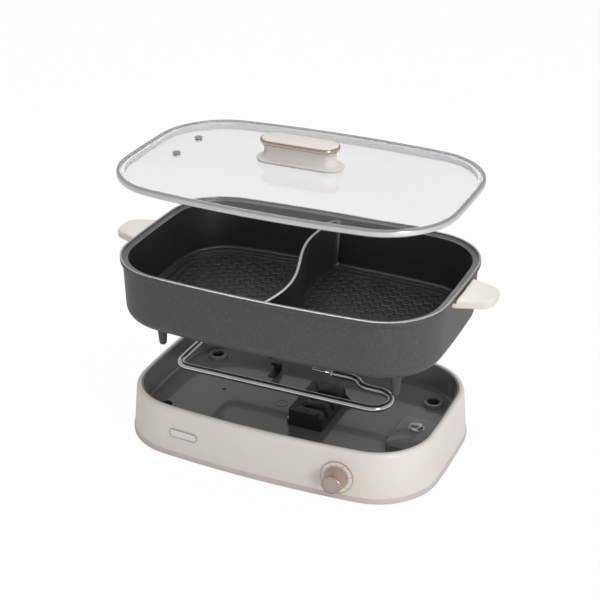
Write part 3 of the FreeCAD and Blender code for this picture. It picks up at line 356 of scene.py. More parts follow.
def eightArcs(spec, longSteps=26, cornerSteps=14, endSteps=16):
    # Closed outline of eight tangent arcs. The angle of the outward normal picks the arc in the first
    # quarter, and its signs mirror the point, so an inset of d is the point less d times the normal.
    halfLength, halfWidth, longRadius, endRadius, corner = spec
    longY, endX = halfWidth - longRadius, halfLength - endRadius
    toLong, toEnd, apart = longRadius - corner, endRadius - corner, hypot(endX, longY)
    along = (toLong ** 2 - toEnd ** 2 + apart ** 2) / (2 * apart)
    aside = sqrt(toLong ** 2 - along ** 2)
    cx = endX / apart * along - longY / apart * aside
    cy = longY - longY / apart * along - endX / apart * aside
    turnEnd, turnLong = atan2(cy, cx - endX), atan2(cy - longY, cx)
    quarter = np.concatenate([np.linspace(0, turnEnd, endSteps),
                              np.linspace(turnEnd, turnLong, cornerSteps)[1:],
                              np.linspace(turnLong, pi / 2, longSteps)[1:]])
    back = quarter[::-1]
    a = np.concatenate([quarter, pi - back[1:], pi + quarter[1:], 2 * pi - back[1:-1]])
    normals = np.stack([np.cos(a), np.sin(a)], axis=1)
    first = np.abs(normals)
    turn = np.arctan2(first[:, 1], first[:, 0])[:, None]
    onEnd = np.array([endX, 0.0]) + endRadius * first
    onCorner = np.array([cx, cy]) + corner * first
    onLong = np.array([0.0, longY]) + longRadius * first
    points = np.where(turn < turnEnd, onEnd, np.where(turn < turnLong, onCorner, onLong))
    return points * np.sign(normals + 1e-12), normals


def swept(outline, profile, closed=False):
    # Profile rows of inset, height and scale about the middle, carried round the outline
    points, normals = outline
    rows = np.array([(*row, 1.0)[:3] for row in profile], float)
    flat = (points[None] - rows[:, 0, None, None] * normals[None]) * rows[:, 2, None, None]
    heights = np.broadcast_to(rows[:, 1, None, None], (len(rows), len(points), 1))
    return np.concatenate([flat, heights], axis=2), gridFaces(len(rows), len(points), roundRows=closed)


def softLine(corners, steps=5, closed=True):
    # Line through corners of (inset, height, radius), each corner swung round by its radius
    line = []
    count = len(corners)
    for i, (x, z, radius) in enumerate(corners):
        here = np.array((x, z), float)
        if radius <= 0 or (not closed and i in (0, count - 1)):
            line.append(tuple(here))
            continue
        before = np.array(corners[i - 1][:2], float) - here
        after = np.array(corners[(i + 1) % count][:2], float) - here
        reach = min(radius, np.linalg.norm(before) * 0.48, np.linalg.norm(after) * 0.48)
        start = here + before / np.linalg.norm(before) * reach
        end = here + after / np.linalg.norm(after) * reach
        for t in np.linspace(0, 1, steps):
            line.append(tuple((1 - t) ** 2 * start + 2 * t * (1 - t) * here + t ** 2 * end))
    return line


def roundSpot(sides, turn=0.0):
    # Unit circle
    a = np.linspace(0, 2 * pi, sides, endpoint=False) + turn
    return np.stack([np.cos(a), np.sin(a)], axis=1)


def turnedRows(rows, sides=72, middle=(0.0, 0.0)):
    # Radius and height rows swung round the local upright
    rows = np.array(rows, float)
    flat = rows[:, :1, None] * roundSpot(sides)[None] + np.array(middle)
    points = np.concatenate([flat, np.broadcast_to(rows[:, 1:2, None], (len(rows), sides, 1))], axis=2)
    return points, gridFaces(len(points), sides)


def stadiumRows(rows, steps=14):
    # Slot shapes of half length, half width and height: a half circle swung round each end
    a = np.concatenate([np.linspace(-pi / 2, pi / 2, steps), np.linspace(pi / 2, 3 * pi / 2, steps)])
    side = np.concatenate([np.ones(steps), -np.ones(steps)])
    rows = np.array(rows, float)
    x = side[None] * (rows[:, :1] - rows[:, 1:2]) + rows[:, 1:2] * np.cos(a)[None]
    y = rows[:, 1:2] * np.sin(a)[None]
    z = np.broadcast_to(rows[:, 2:3], x.shape)
    return np.stack([x, y, z], axis=2), gridFaces(len(rows), len(a))


def plug(shape, place=(0, 0, 0)):
    # Upright rod, closed above and below
    rows = [(0.02, 0.01, shape["low"]), (shape["reach"], shape["radius"], shape["low"]),
            (shape["reach"], shape["radius"], shape["high"]), (0.02, 0.01, shape["high"])]
    points, faces = stadiumRows(rows)
    return points + place, faces


def roundedCorners(corners, steps=8):
    # Closed outline through corners of (x, y, radius), each corner swung round by an arc, with its normals
    spots = np.array([c[:2] for c in corners], float)
    before, after = np.roll(spots, 1, axis=0) - spots, np.roll(spots, -1, axis=0) - spots
    before /= np.linalg.norm(before, axis=1)[:, None]
    after /= np.linalg.norm(after, axis=1)[:, None]
    radius = np.array([c[2] for c in corners], float)[:, None]
    half = np.arccos(np.clip((before * after).sum(1), -1, 1))[:, None] / 2
    inward = (before + after) / np.linalg.norm(before + after, axis=1)[:, None]
    centre = spots + inward * radius / np.sin(half)
    start = np.stack([-after[:, 1], after[:, 0]], axis=1)
    first = np.stack([before[:, 1], -before[:, 0]], axis=1)
    t = np.linspace(0, 1, steps)[None, :, None]
    first = np.where((first * inward).sum(1)[:, None] > 0, -first, first)
    start = np.where((start * inward).sum(1)[:, None] > 0, -start, start)
    normals = first[:, None] * (1 - t) + start[:, None] * t
    angle = np.arccos(np.clip((first * start).sum(1), -1, 1))[:, None, None]
    arc = np.sin((1 - t) * angle) * first[:, None] + np.sin(t * angle) * start[:, None]
    normals = np.where(angle > 1e-4, arc / np.maximum(np.sin(angle), 1e-9), normals)
    points = centre[:, None] + radius[:, None] * normals
    return points.reshape(-1, 2), normals.reshape(-1, 2)


def roundedBox(x0, x1, y0, y1, radius):
    # Outline of a rectangle with rounded corners
    return roundedCorners([(x0, y0, radius), (x1, y0, radius), (x1, y1, radius), (x0, y1, radius)])


def softSlab(outline, low, high, edge, lean=0.0, middle=(0.0, 0.0)):
    # Upright slab over an outline whose top edge is rounded and whose side leans in towards the top
    turn = np.linspace(0, pi / 2, 5)[1:]
    rows = [(0, low, 0), (0, low, 1), (lean, high - edge, 1)]
    rows += [(lean + edge * (1 - cos(t)), high - edge * (1 - sin(t)), 1) for t in turn]
    rows += [(lean + edge, high, 0)]
    points, normals = outline
    moved, faces = swept((points - np.array(middle), normals), rows)
    return moved + np.array([*middle, 0.0]), faces


def cutBy(piece, tools, how="DIFFERENCE"):
    # Exact Boolean cuts or unions, applied, and the tools thrown away
    for tool in tools:
        cutter = bpy.data.objects.new("cutter", tool)
        bpy.context.scene.collection.objects.link(cutter)
        cut = piece.modifiers.new("cut", "BOOLEAN")
        cut.operation = how
        cut.solver = "EXACT"
        cut.object = cutter
        bpy.context.view_layer.update()
        current = bpy.context.evaluated_depsgraph_get()
        done = bpy.data.meshes.new_from_object(piece.evaluated_get(current))
        piece.modifiers.clear()
        piece.data = done
        bpy.data.objects.remove(cutter)
    piece.data.shade_smooth()
    piece.data.set_sharp_from_angle(angle=radians(38))


def roundAt(x, y, radius, low, high, edge=0.0, turn=0.0):
    # Upright round plug. A small turn keeps the corners of a cut off those of what it cuts.
    ring = roundSpot(64, turn)
    slab, faces = softSlab((ring * radius, ring), low, high, edge)
    return surfaceMesh("round", [(slab + np.array([x, y, 0.0]), faces)])


def movedMesh(mesh, place):
    # The mesh itself, carried to its place
    mesh.transform(place)
    mesh.update()
    return mesh


slots = {part["node"]: part["material_slot"] for part in frame["record"]["subparts"]}

# Half length, half width, radius of the long side, of the end and of the corner
baseOutline = (190.0, 124.3, 1340.0, 1430.0, 75.0)
potOutline = (193.4, 126.4, 1525.0, 1582.0, 72.6)
lidOutline = (195.6, 125.4, 1180.0, 1447.0, 80.8)

# Base housing: insets from the outline and heights
base = {"bandTop": 8.7, "footTop": 2.5, "shoulder": 56.8, "top": 62.8, "lean": 4.2, "wallInset": 1.0,
        "bandInset": 1.6, "rimWidth": 4.4, "rimHeight": 6.0, "mouth": 11.35, "lipUnder": 59.8,
        "innerTop": 8.0, "innerFoot": 4.4}
baseRing = eightArcs(baseOutline)
shoulderInset = base["wallInset"] + base["lean"]
rimRound = [(shoulderInset + base["rimWidth"] * (1 - cos(t)),
             base["shoulder"] + base["rimHeight"] * sin(t), 0) for t in np.linspace(0, pi / 2, 9)[1:]]
shellLine = softLine([(base["bandInset"], base["footTop"], 0.3), (base["bandInset"], base["bandTop"], 0),
                      (base["wallInset"], base["bandTop"], 0.3), (shoulderInset, base["shoulder"], 0),
                      *rimRound, (base["mouth"], base["top"], 0.5), (base["mouth"], base["lipUnder"], 0),
                      (base["innerTop"], base["lipUnder"], 0), (base["innerFoot"], base["footTop"], 0)])
shellMesh = surfaceMesh("baseShell", [swept(baseRing, shellLine, closed=True)])


def wallPlace(x, z):
    # Frame on the leaning front wall: local Z straight out of the wall, local X level
    rise = base["shoulder"] - base["bandTop"]
    radius = baseOutline[2] - base["wallInset"] - base["lean"] * (z - base["bandTop"]) / rise
    yaw = asin(x / radius)
    tilt = radians(90) - atan2(base["lean"], rise)
    y = -(baseOutline[1] - baseOutline[2] + radius * cos(yaw))
    turned = Matrix.Rotation(yaw, 4, "Z") @ Matrix.Rotation(tilt, 4, "X")
    return Matrix.Translation((x * mm, y * mm, z * mm)) @ turned


dialPlace = wallPlace(97.0, 29.0)
bore = {"reach": 4.75, "radius": 4.7, "low": -12, "high": 9}
inlet = {"x": -60.0, "y": 130.0, "z": 18.0, "halfWidth": 14.15, "halfDepth": 30.0, "halfHeight": 7.15}
shell = addPiece("baseShell", shellMesh, "cream", "base", ["base_shell"])
boreMesh = movedMesh(surfaceMesh("bore", [plug(bore)]), dialPlace)
block = bmesh.new()
bmesh.ops.create_cube(block, size=1.0)
inletSize = (2 * inlet["halfWidth"] * mm, 2 * inlet["halfDepth"] * mm, 2 * inlet["halfHeight"] * mm, 1.0)
inletPlace = Matrix.Translation((inlet["x"] * mm, inlet["y"] * mm, inlet["z"] * mm))
block.transform(inletPlace @ Matrix.Diagonal(inletSize))
inletMesh = bpy.data.meshes.new("inlet")
block.to_mesh(inletMesh)
block.free()
cutBy(shell, [boreMesh, inletMesh])

bandLine = softLine([(base["bandInset"], base["footTop"], 0), (0.0, base["footTop"], 0.4),
                     (0.0, base["bandTop"] - 0.6, 0.9), (base["wallInset"], base["bandTop"], 0.3),
                     (base["bandInset"], base["bandTop"], 0)])
addPiece("footBand", surfaceMesh("footBand", [swept(baseRing, bandLine, closed=True)]), "rose_gold", "base",
         ["base_trim_band"], extraFinishes["bandRose"])

# Tray: one closed skin from the middle of its floor, up the wall, over the lip and back under
tray = {"floor": 30.0, "under": 28.2, "top": 62.0, "low": 14.8, "high": 13.5, "outer": 11.5, "flange": 8.3,
        "flangeTop": 59.8, "flangeUnder": 57.8, "corner": 3.0, "middle": 24.0, "root": 28.6}
well = {"x": 143.0, "y": 67.0, "radius": 11.7, "bore": 8.0, "top": 35.0, "edge": 1.6}
pad = {"box": (124, 176.4, -50, 20), "corner": 9, "top": 39.0, "edge": 1.2, "middle": (150, -15),
       "hole": (147.0, -3.0, 7.7)}
bay = {"box": (78, 116, -108, -93.3), "corner": 5, "top": 48.0, "edge": 1.5, "middle": (97, -100)}
mark = {"middle": (-22.0, -4.0), "inner": 6.3, "outer": 7.5, "low": 29.6, "high": 31.0}
smallHole = (-100.0, -1.0, 2.6)
traySkin = [(tray["middle"], tray["floor"], s) for s in (0.0, 0.5, 1.0)]
traySkin += [(18.4, tray["floor"], 1), (17.9, tray["floor"], 1)]
traySkin += [(tray["low"] + tray["corner"] * (1 - sin(t)), tray["floor"] + tray["corner"] * (1 - cos(t)), 1)
             for t in np.linspace(0, pi / 2, 8)]
traySkin += softLine([(tray["high"], tray["top"], 0.5), (tray["outer"], tray["top"], 0.3),
                      (tray["outer"], tray["flangeTop"], 0), (tray["flange"], tray["flangeTop"], 0),
                      (tray["flange"], tray["flangeUnder"], 0), (tray["outer"] + 0.1, tray["flangeUnder"], 0),
                      (12.8, tray["under"], 0)])
traySkin += [(tray["middle"], tray["under"], s) for s in (1.0, 0.0)]
# The tray takes the lighter copy of the black finish, whose grey is a painted reflection of its sheen
trayPiece = addPiece("heatTray", surfaceMesh("heatTray", [swept(baseRing, traySkin)]), "black", "base",
                     ["inner_tray"], extraFinishes["trayPaintedSheen"])
wells = [(sx * well["x"], sy * well["y"]) for sx in (-1, 1) for sy in (-1, 1)]
raised = []
for shape in (pad, bay):
    outline = roundedBox(*shape["box"], shape["corner"])
    slab = softSlab(outline, tray["root"], shape["top"], shape["edge"], 0.6, shape["middle"])
    raised.append(surfaceMesh("raised", [slab]))
raised += [roundAt(x, y, well["radius"], tray["root"], well["top"], well["edge"]) for x, y in wells]
cutBy(trayPiece, raised, "UNION")
holes = [roundAt(x, y, well["bore"], 20.0, 40.0, turn=0.02) for x, y in wells]
holes += [roundAt(*pad["hole"], 20.0, 45.0, turn=0.02), roundAt(*smallHole, 20.0, 40.0, turn=0.02)]
cutBy(trayPiece, holes)
grooveLine = [(mark["inner"], mark["low"]), (mark["outer"], mark["low"]), (mark["outer"], mark["high"]),
              (mark["inner"], mark["high"]), (mark["inner"], mark["low"])]
cutBy(trayPiece, [surfaceMesh("groove", [turnedRows(grooveLine, 64, mark["middle"])])])
print("housing done")

# Pot: one skin from the middle of the floor up the inside, over the rim and down to the underside
pot = {"z": 155.5, "top": 228.7, "floor": 160.5, "seat": 225.9, "middle": 22.9, "under": 19.2, "corner": 15.0}
potRing = eightArcs(potOutline)
potSkin = [(pot["middle"], pot["floor"], s) for s in (0.0, 0.3, 0.6, 0.85, 1.0)]
potSkin += softLine([(pot["middle"], pot["floor"], 0), (20.4, pot["z"] + 5.4, 1.2),
                     (19.6, pot["z"] + 9.0, 1.0), (11.0, pot["z"] + 9.9, 3.4), (9.2, pot["seat"], 0.5),
                     (2.6, pot["seat"], 0.4), (2.2, pot["top"], 0.3), (0.0, pot["top"], 0.6),
                     (0.0, pot["top"] - 5.6, 0.8), (3.0, pot["top"] - 7.6, 0.6),
                     (4.2, pot["z"] + pot["corner"], 0)], closed=False)
potSkin += [(pot["under"] - pot["corner"] * cos(t), pot["z"] + pot["corner"] * (1 - sin(t)))
            for t in np.linspace(0, pi / 2, 10)[1:]]
potSkin += [(pot["under"], pot["z"], s) for s in (0.7, 0.35, 0.0)]

divider = {"sway": 14.5, "halfWave": 135.0, "thick": 3.6, "reach": 118.6, "footReach": 115.0, "top": 221.2,
           "crown": 1.2, "spread": (4.2, 1.6, 0.5, 0.0), "rise": (0.0, 1.5, 4.0, 9.0)}


def dividerSurface():
    # A wall that follows a sine from the back wall to the front wall: its section is a thin upright with a
    # rounded top, and both its foot and its ends widen into what they meet
    along = np.linspace(-divider["reach"], divider["reach"], 97)
    half = divider["thick"] / 2
    spread, rise = np.array(divider["spread"]), np.array(divider["rise"]) + pot["floor"] - 0.6
    arch = np.linspace(0, pi, 9)
    across = np.concatenate([half + spread, half * np.cos(arch), -half - spread[::-1]])
    up = np.concatenate([rise, divider["top"] + divider["crown"] * (np.sin(arch) - 1), rise[::-1]])
    turn = pi / divider["halfWave"]
    middle = -divider["sway"] * np.sin(turn * along)
    slope = -divider["sway"] * turn * np.cos(turn * along)
    normal = np.stack([np.ones_like(slope), -slope], axis=1) / np.hypot(1, slope)[:, None]
    wider = (1.0 + 2.2 * np.exp(-(divider["reach"] - np.abs(along)) / 3.2))[:, None]
    # The foot stops short of the ends, so that it stays inside the pot's rounded corner
    reach = np.where(up < pot["floor"] + 4.5, divider["footReach"], divider["reach"]) / divider["reach"]
    x = middle[:, None] + across[None] * wider * normal[:, :1]
    y = along[:, None] * reach + across[None] * wider * normal[:, 1:]
    z = np.broadcast_to(up[None], x.shape)
    return np.stack([x, y, z], axis=2), gridFaces(len(along), len(across))


# Boss over the sensor, lugs for the handles
boss = {"radius": 8.5, "tip": 8.09, "high": pot["z"] + 1, "edge": pot["z"] - 19.2, "low": pot["z"] - 19.8,
        "middle": (147, -3, 0)}
lug = {"reach": 9.2, "radius": 9.1, "low": 216.7, "high": 221.2, "x": 196.6}
radius, tip = boss["radius"], boss["tip"]
bossPoints, bossFaces = stadiumRows([(0.02, 0.01, boss["high"]), (radius + 0.01, radius, boss["high"]),
                                     (radius + 0.01, radius, boss["edge"]), (tip + 0.01, tip, boss["low"]),
                                     (0.02, 0.01, boss["low"])])
bossPieces = [(bossPoints + boss["middle"], bossFaces)]
bossPieces += [plug(lug, (side * lug["x"], 0, 0)) for side in (-1, 1)]

# The lining starts inside the rim, the top of the rim is machined bright and the lid's seat is a paler grey
rimRow = next(i for i, row in enumerate(potSkin) if row[0] < 2.7 and row[1] > pot["seat"] - 1)
edgeRows = [i for i, row in enumerate(potSkin) if row[1] > pot["top"] - 0.45]
seatRows = [i for i, row in enumerate(potSkin) if abs(row[1] - pot["seat"]) < 0.5 and 2.2 < row[0] < 9.8]
rowFinish = [3 if i in seatRows[:-1] else 1 if i < rimRow else 2 if i in edgeRows[:-1] else 0
             for i in range(len(potSkin) - 1)]
potFinishes = [finishes["pot_grey"], *(extraFinishes[n] for n in ("potInside", "machinedEdge", "seatGrey"))]
potMesh = surfaceMesh("potCasting", [swept(potRing, potSkin)], finishOf=np.repeat(rowFinish, len(potRing[0])))
addPiece("potCasting", potMesh, "pot_grey", "pot", ["pot_body"], *potFinishes)
dividerGrid = dividerSurface()
topFinish = [2 if 5 <= c <= 10 else 1 for c in range(17)]
dividerMesh = surfaceMesh("potDivider", [dividerGrid], finishOf=np.tile(topFinish, len(dividerGrid[1]) // 17))
addPiece("potDivider", dividerMesh, "pot_grey", "pot", ["pot_body"], *potFinishes[:3])
addPiece("potBoss", surfaceMesh("potBoss", bossPieces), "pot_grey", "pot", ["pot_body"])

handle = {"root": 181.0, "side": 191.4, "rootHalf": 31.0, "tip": 230.0, "tipHalf": 17.0, "low": 213.7,
          "high": 224.2, "edge": 3.4, "middle": 205.0}
potRoom = [(2.95, 200, 0), (2.95, 200, 1), (2.95, 219.9, 1), (-1.2, 219.9, 1), (-1.2, 240, 1), (-1.2, 240, 0)]


def tabSurface(side):
    # Rounded tab: its plan is drawn in from the middle of its thickness by a rounded edge above and below
    h, edge = handle, handle["edge"]
    plan = [(h["root"], -h["rootHalf"], 4), (h["side"], -h["rootHalf"], 16), (h["tip"], -h["tipHalf"], 15),
            (h["tip"], h["tipHalf"], 15), (h["side"], h["rootHalf"], 16), (h["root"], h["rootHalf"], 4)]
    points, normals = roundedCorners(plan, 12)
    turn = np.linspace(0, pi / 2, 7)
    rows = [(edge, h["low"], 0)] + [(edge * (1 - sin(t)), h["low"] + edge * (1 - cos(t)), 1) for t in turn]
    rows += [(edge * (1 - cos(t)), h["high"] - edge * (1 - sin(t)), 1) for t in turn] + [(edge, h["high"], 0)]
    grid, faces = swept((points - np.array([h["middle"], 0.0]), normals), rows)
    return (grid + np.array([h["middle"], 0.0, 0.0])) * np.array([side, 1, 1]), faces


for side, node in ((-1, "pot_handle_left"), (1, "pot_handle_right")):
    tab = addPiece(node + "Tab", surfaceMesh(node + "Tab", [tabSurface(side)]), "cream", "pot", [node])
    cutBy(tab, [surfaceMesh("potRoom", [swept(potRing, potRoom)])])
print("pot done")

# Lid: domed glass in a steel rim
lid = {"z": 322.0, "top": 329.6, "glassBase": 328.6, "glass": 4.0, "glassInset": 1.6, "middle": 76.0}
lidRing = eightArcs(lidOutline)
domeTable = np.array(((1.6, 0.0), (6.0, 0.6), (14.0, 2.4), (26.0, 4.6), (42.0, 6.6), (60.0, 7.9),
                      (76.0, 8.4)))
domeInset = np.array([1.6, 3.0, 5.0, 8.0, 11.0, 15.0, 20.0, 26.0, 33.0, 41.0, 50.0, 60.0, 68.0, 76.0])
domeTop = lid["glassBase"] + np.polyval(np.polyfit(domeTable[:, 0], domeTable[:, 1], 4), domeInset)
domeUnder = domeTop - lid["glass"]
glassSkin = [(lid["middle"], domeTop[-1], s) for s in (0.0, 0.5, 0.9)]
glassSkin += list(zip(domeInset[::-1], domeTop[::-1]))
glassSkin += [(lid["glassInset"], lid["glassBase"] - lid["glass"] + 0.7)]
glassSkin += list(zip(domeInset + 1.0, domeUnder))
glassSkin += [(lid["middle"] + 1.0, domeUnder[-1], s) for s in (0.9, 0.5, 0.0)]
addPiece("lidGlass", surfaceMesh("lidGlass", [swept(lidRing, glassSkin)]), "glass", "lid", ["lid_glass"])
rimLine = softLine([(0.9, lid["z"], 0.5), (0.0, lid["z"] + 1.2, 0.6), (0.0, lid["top"] - 1.4, 1.0),
                    (1.2, lid["top"], 0.8), (3.4, lid["top"], 0.5), (3.4, lid["z"], 0.4)])
addPiece("lidRim", surfaceMesh("lidRim", [swept(lidRing, rimLine, closed=True)]), "steel", "lid", ["lid_rim"])
seal = {"outer": 5.4, "inner": 9.2, "top": 325.0, "foot": 319.3}
sealLine = softLine([(seal["outer"], seal["top"], 0.3), (seal["outer"], seal["foot"] + 0.6, 0.5),
                     (seal["outer"] + 0.8, seal["foot"], 0.5), (seal["inner"], seal["foot"], 0.5),
                     (seal["inner"], seal["top"], 0.3)])
addPiece("lidSeal", surfaceMesh("lidSeal", [swept(lidRing, sealLine, closed=True)]), "silicone", "lid",
         ["lid_seal"])

# Lid handle: foot flange, waisted stem, rose band and cap, as rows of half length, half width and height
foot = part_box("lid_handle_gasket")[0].z / mm + 1.0
head = foot + 20.0
capTop = head + 4.4
stemRows = [(0.02, 0.01, foot), (50.2, 16.2, foot), (50.8, 16.8, foot + 0.4), (51, 17, foot + 1.0),
            (50.9, 16.9, foot + 1.9), (50.2, 16.2, foot + 2.6), (48.6, 14.9, foot + 3.0),
            (46.9, 13.2, foot + 3.4)]
for share in np.linspace(0.05, 1.0, 14):
    # The waist narrows to its middle by a power of the distance from it
    spread = abs(2 * share - 1) ** 2.6
    endHalf, endWidth = (46.0, 16.0) if share > 0.5 else (46.4, 12.6)
    stemRows.append((42 + (endHalf - 42.4) * spread, 10 + (endWidth - 10.4) * spread,
                     foot + 3.4 + 16.6 * share))
stemRows += [(44.4, 14.4, head + 0.2), (44.4, 14.4, capTop), (0.02, 0.01, capTop)]
bandRows = [(44.4, 14.4, head), (45.3, 15.3, head), (45.8, 15.8, head + 0.25), (46, 16, head + 0.8),
            (46, 16, head + 3.4), (45.8, 15.8, head + 4.0), (45.3, 15.3, capTop), (44.4, 14.4, capTop)]
capRows = [(0.02, 0.01, capTop), (44.3, 14.3, capTop), (44.1, 14.1, capTop + 0.5), (43.0, 13.0, capTop + 1.1),
           (41.0, 11.0, capTop + 1.6), (0.02, 0.01, capTop + 1.6)]
bandPoints, _ = stadiumRows(bandRows)
bandGrid = (bandPoints, gridFaces(*bandPoints.shape[:2], roundRows=True))
addPiece("handleStem", surfaceMesh("handleStem", [stadiumRows(stemRows)]), "cream", "lid", ["lid_handle"])
addPiece("handleBand", surfaceMesh("handleBand", [bandGrid]), "rose_gold", "lid", ["lid_handle_trim"])
addPiece("handleCap", surfaceMesh("handleCap", [stadiumRows(capRows)]), "cream", "lid", ["lid_handle_cap"])
print("lid done")

# Tube heater: a round section carried along runs and arcs that lie in one plane
heater = {"z": 90.0, "radius": 4.25, "pinX": 47.0, "pinY": 9.0, "neckStart": 66.0, "neckEnd": 97.0,
          "legY": 24.0, "runY": 64.0, "hairpinX": 108.5, "left": -128.0, "corner": 15.0}


def arcPoints(centre, radius, start, end, count=12):
    t = np.linspace(start, end, count)
    return np.stack([centre[0] + radius * np.cos(t), centre[1] + radius * np.sin(t)], axis=1)


def heaterLine():
    # Leg, swan neck, hairpin, long run and the corner of the left run, then the same mirrored
    h = heater
    bend, shift = (h["neckEnd"] - h["neckStart"]) / 2, (h["legY"] - h["pinY"]) / 2
    neck = (bend ** 2 + shift ** 2) / (2 * shift)
    swing = 2 * atan2(shift, bend)
    hairpin = (h["runY"] - h["legY"]) / 2
    corner = (h["left"] + h["corner"], h["runY"] - h["corner"])
    half = np.concatenate([
        np.array([[h["pinX"], h["pinY"]]]),
        arcPoints((h["neckStart"], h["pinY"] + neck), neck, -pi / 2, -pi / 2 + swing),
        arcPoints((h["neckEnd"], h["legY"] - neck), neck, pi / 2 + swing, pi / 2)[1:],
        arcPoints((h["hairpinX"], h["legY"] + hairpin), hairpin, -pi / 2, pi / 2, 24),
        arcPoints(corner, h["corner"], pi / 2, pi)])
    return np.concatenate([half * (1, -1), half[::-1]])


def tubeRound(line, z, radius, sides=20):
    # At each point of the line a circle square to it, spanned by the level normal and the upright
    ahead = np.gradient(line, axis=0)
    ahead /= np.linalg.norm(ahead, axis=1)[:, None]
    level = np.stack([-ahead[:, 1], ahead[:, 0]], axis=1)
    spot = radius * roundSpot(sides)
    flat = line[:, None] + spot[None, :, :1] * level[:, None]
    up = z + spot[None, :, 1:] + np.zeros((len(line), 1, 1))
    rows = np.concatenate([flat, up], axis=2)
    ends = [np.broadcast_to(rows[i].mean(0), (1, sides, 3)) for i in (0, -1)]
    rows = np.concatenate([ends[0], rows, ends[1]])
    return rows, gridFaces(len(rows), sides)


heaterTube = tubeRound(heaterLine(), heater["z"], heater["radius"])
addPiece("heaterTube", surfaceMesh("heaterTube", [heaterTube]), "chrome", "heater", ["heater_tube"])
print("heater done")

# Dial
knob = {"root": 1.6, "tip": 20.6, "flutes": 24, "depth": 0.5, "taper": 0.158, "pointerTop": 17.6}
ring = {"bore": 4.75, "radius": 18.2, "under": -0.3, "face": 1.2, "trimRadius": 19.0}
scale = {"first": 225, "step": 27, "ticks": 11, "tickRadius": 14.9, "numberRadius": 16.9, "numberSize": 2.6}


def knobSurface():
    # Tapered round body whose radius dips in a rectified sine along its side; no dips at its rounded ends
    root, tip = knob["root"], knob["tip"]
    rows = np.array([(0, root + 5, 0), (9.0, root + 5, 0), (9.0, root, 0), (13.2, root, 0),
                     (13.9, root + 0.4, 0.4), (13.85, root + 1.4, 1), (12.5, root + 9, 1),
                     (11.1, tip - 1.6, 1), (11.0, tip - 0.9, 0.4), (10.6, tip - 0.3, 0), (10.2, tip, 0),
                     (9.7, tip, 0), (9.7, tip - 1.4, 0), (0, tip - 1.4, 0)])
    a = np.linspace(0, 2 * pi, knob["flutes"] * 8, endpoint=False)
    dip = knob["depth"] * np.abs(np.sin(a * knob["flutes"] / 2))
    radius = rows[:, :1] - rows[:, 2:] * (knob["depth"] - dip)[None]
    heights = np.broadcast_to(rows[:, 1:2], radius.shape)
    points = np.stack([radius * np.cos(a), radius * np.sin(a), heights], axis=2)
    return points, gridFaces(len(points), len(a))


def pointerSurface():
    # A narrow rib that leans with the taper of the knob
    low, high = knob["root"] + 0.8, knob["root"] + knob["pointerTop"]
    points, faces = stadiumRows([(0.5, 0.02, low), (0.75, 0.6, low), (0.6, 0.5, high), (0.4, 0.02, high)])
    points[..., 1] += 13.9 - (points[..., 2] - knob["root"]) * knob["taper"]
    return points, faces


def dialMarks():
    # Bars round the dial, every second one longer
    pieces = []
    for i in range(scale["ticks"]):
        a = radians(scale["first"] - scale["step"] * i)
        length = 0.5 if i % 2 else 0.9
        points, faces = stadiumRows([(0.02, 0.01, 1.15), (length, 0.22, 1.15), (length, 0.22, 1.26),
                                     (0.02, 0.01, 1.26)], 5)
        x, y = points[..., 0] + scale["tickRadius"], points[..., 1]
        turned = np.stack([x * cos(a) - y * sin(a), x * sin(a) + y * cos(a), points[..., 2]], axis=-1)
        pieces.append((turned, faces))
    return pieces


def onDial(name, pieces, slotName, body, nodes, *materials):
    mesh = movedMesh(surfaceMesh(name, pieces, 30.0), dialPlace)
    return addPiece(name, mesh, slotName, body, nodes, *materials)


onDial("dialKnob", [knobSurface()], "rose_gold", "dial", ["dial_knob"])
onDial("dialPointer", [pointerSurface()], "rose_gold", "dial", ["dial_knob"])
inside, rim, under, face = ring["bore"], ring["radius"], ring["under"], ring["face"]
ringRows = [(inside, under), (rim, under), (rim, 1.0), (18.0, face), (inside, face), (inside, under)]
onDial("dialRing", [turnedRows(ringRows)], "dial_white", "base", ["dial_ring"])
trimRows = [(rim, under), (ring["trimRadius"], under), (ring["trimRadius"], face), (18.8, 1.45),
            (18.4, 1.5), (rim, 1.3), (rim, under)]
onDial("dialTrim", [turnedRows(trimRows)], "rose_gold", "base", ["dial_trim"])
tip = knob["tip"]
onDial("dialCap", [turnedRows([(0, tip - 1.4), (9.6, tip - 1.4), (9.6, tip - 0.6), (9.3, tip - 0.25),
                               (8.9, tip - 0.2), (0, tip - 0.2)])], "taupe", "dial", ["dial_cap"])
onDial("dialTicks", dialMarks(), "dial_white", "base", ["dial_ring"], extraFinishes["dialInk"])
for i in range(6):
    a = radians(scale["first"] - 2 * scale["step"] * i)
    words = bpy.data.curves.new("dialNumber", "FONT")
    words.body = str(i)
    words.size = scale["numberSize"] * mm
    words.align_x = "CENTER"
    words.align_y = "CENTER"
    words.extrude = 0.05 * mm
    holder = bpy.data.objects.new("dialNumber", words)
    bpy.context.scene.collection.objects.link(holder)
    bpy.context.view_layer.update()
    flat = bpy.data.meshes.new_from_object(holder.evaluated_get(bpy.context.evaluated_depsgraph_get()))
    bpy.data.objects.remove(holder)
    radius = scale["numberRadius"] * mm
    movedMesh(flat, dialPlace @ Matrix.Translation((radius * cos(a), radius * sin(a), 1.22 * mm)))
    addPiece("dialNumber" + str(i), flat, "dial_white", "base", ["dial_ring"], extraFinishes["dialInk"])
print("dial done")

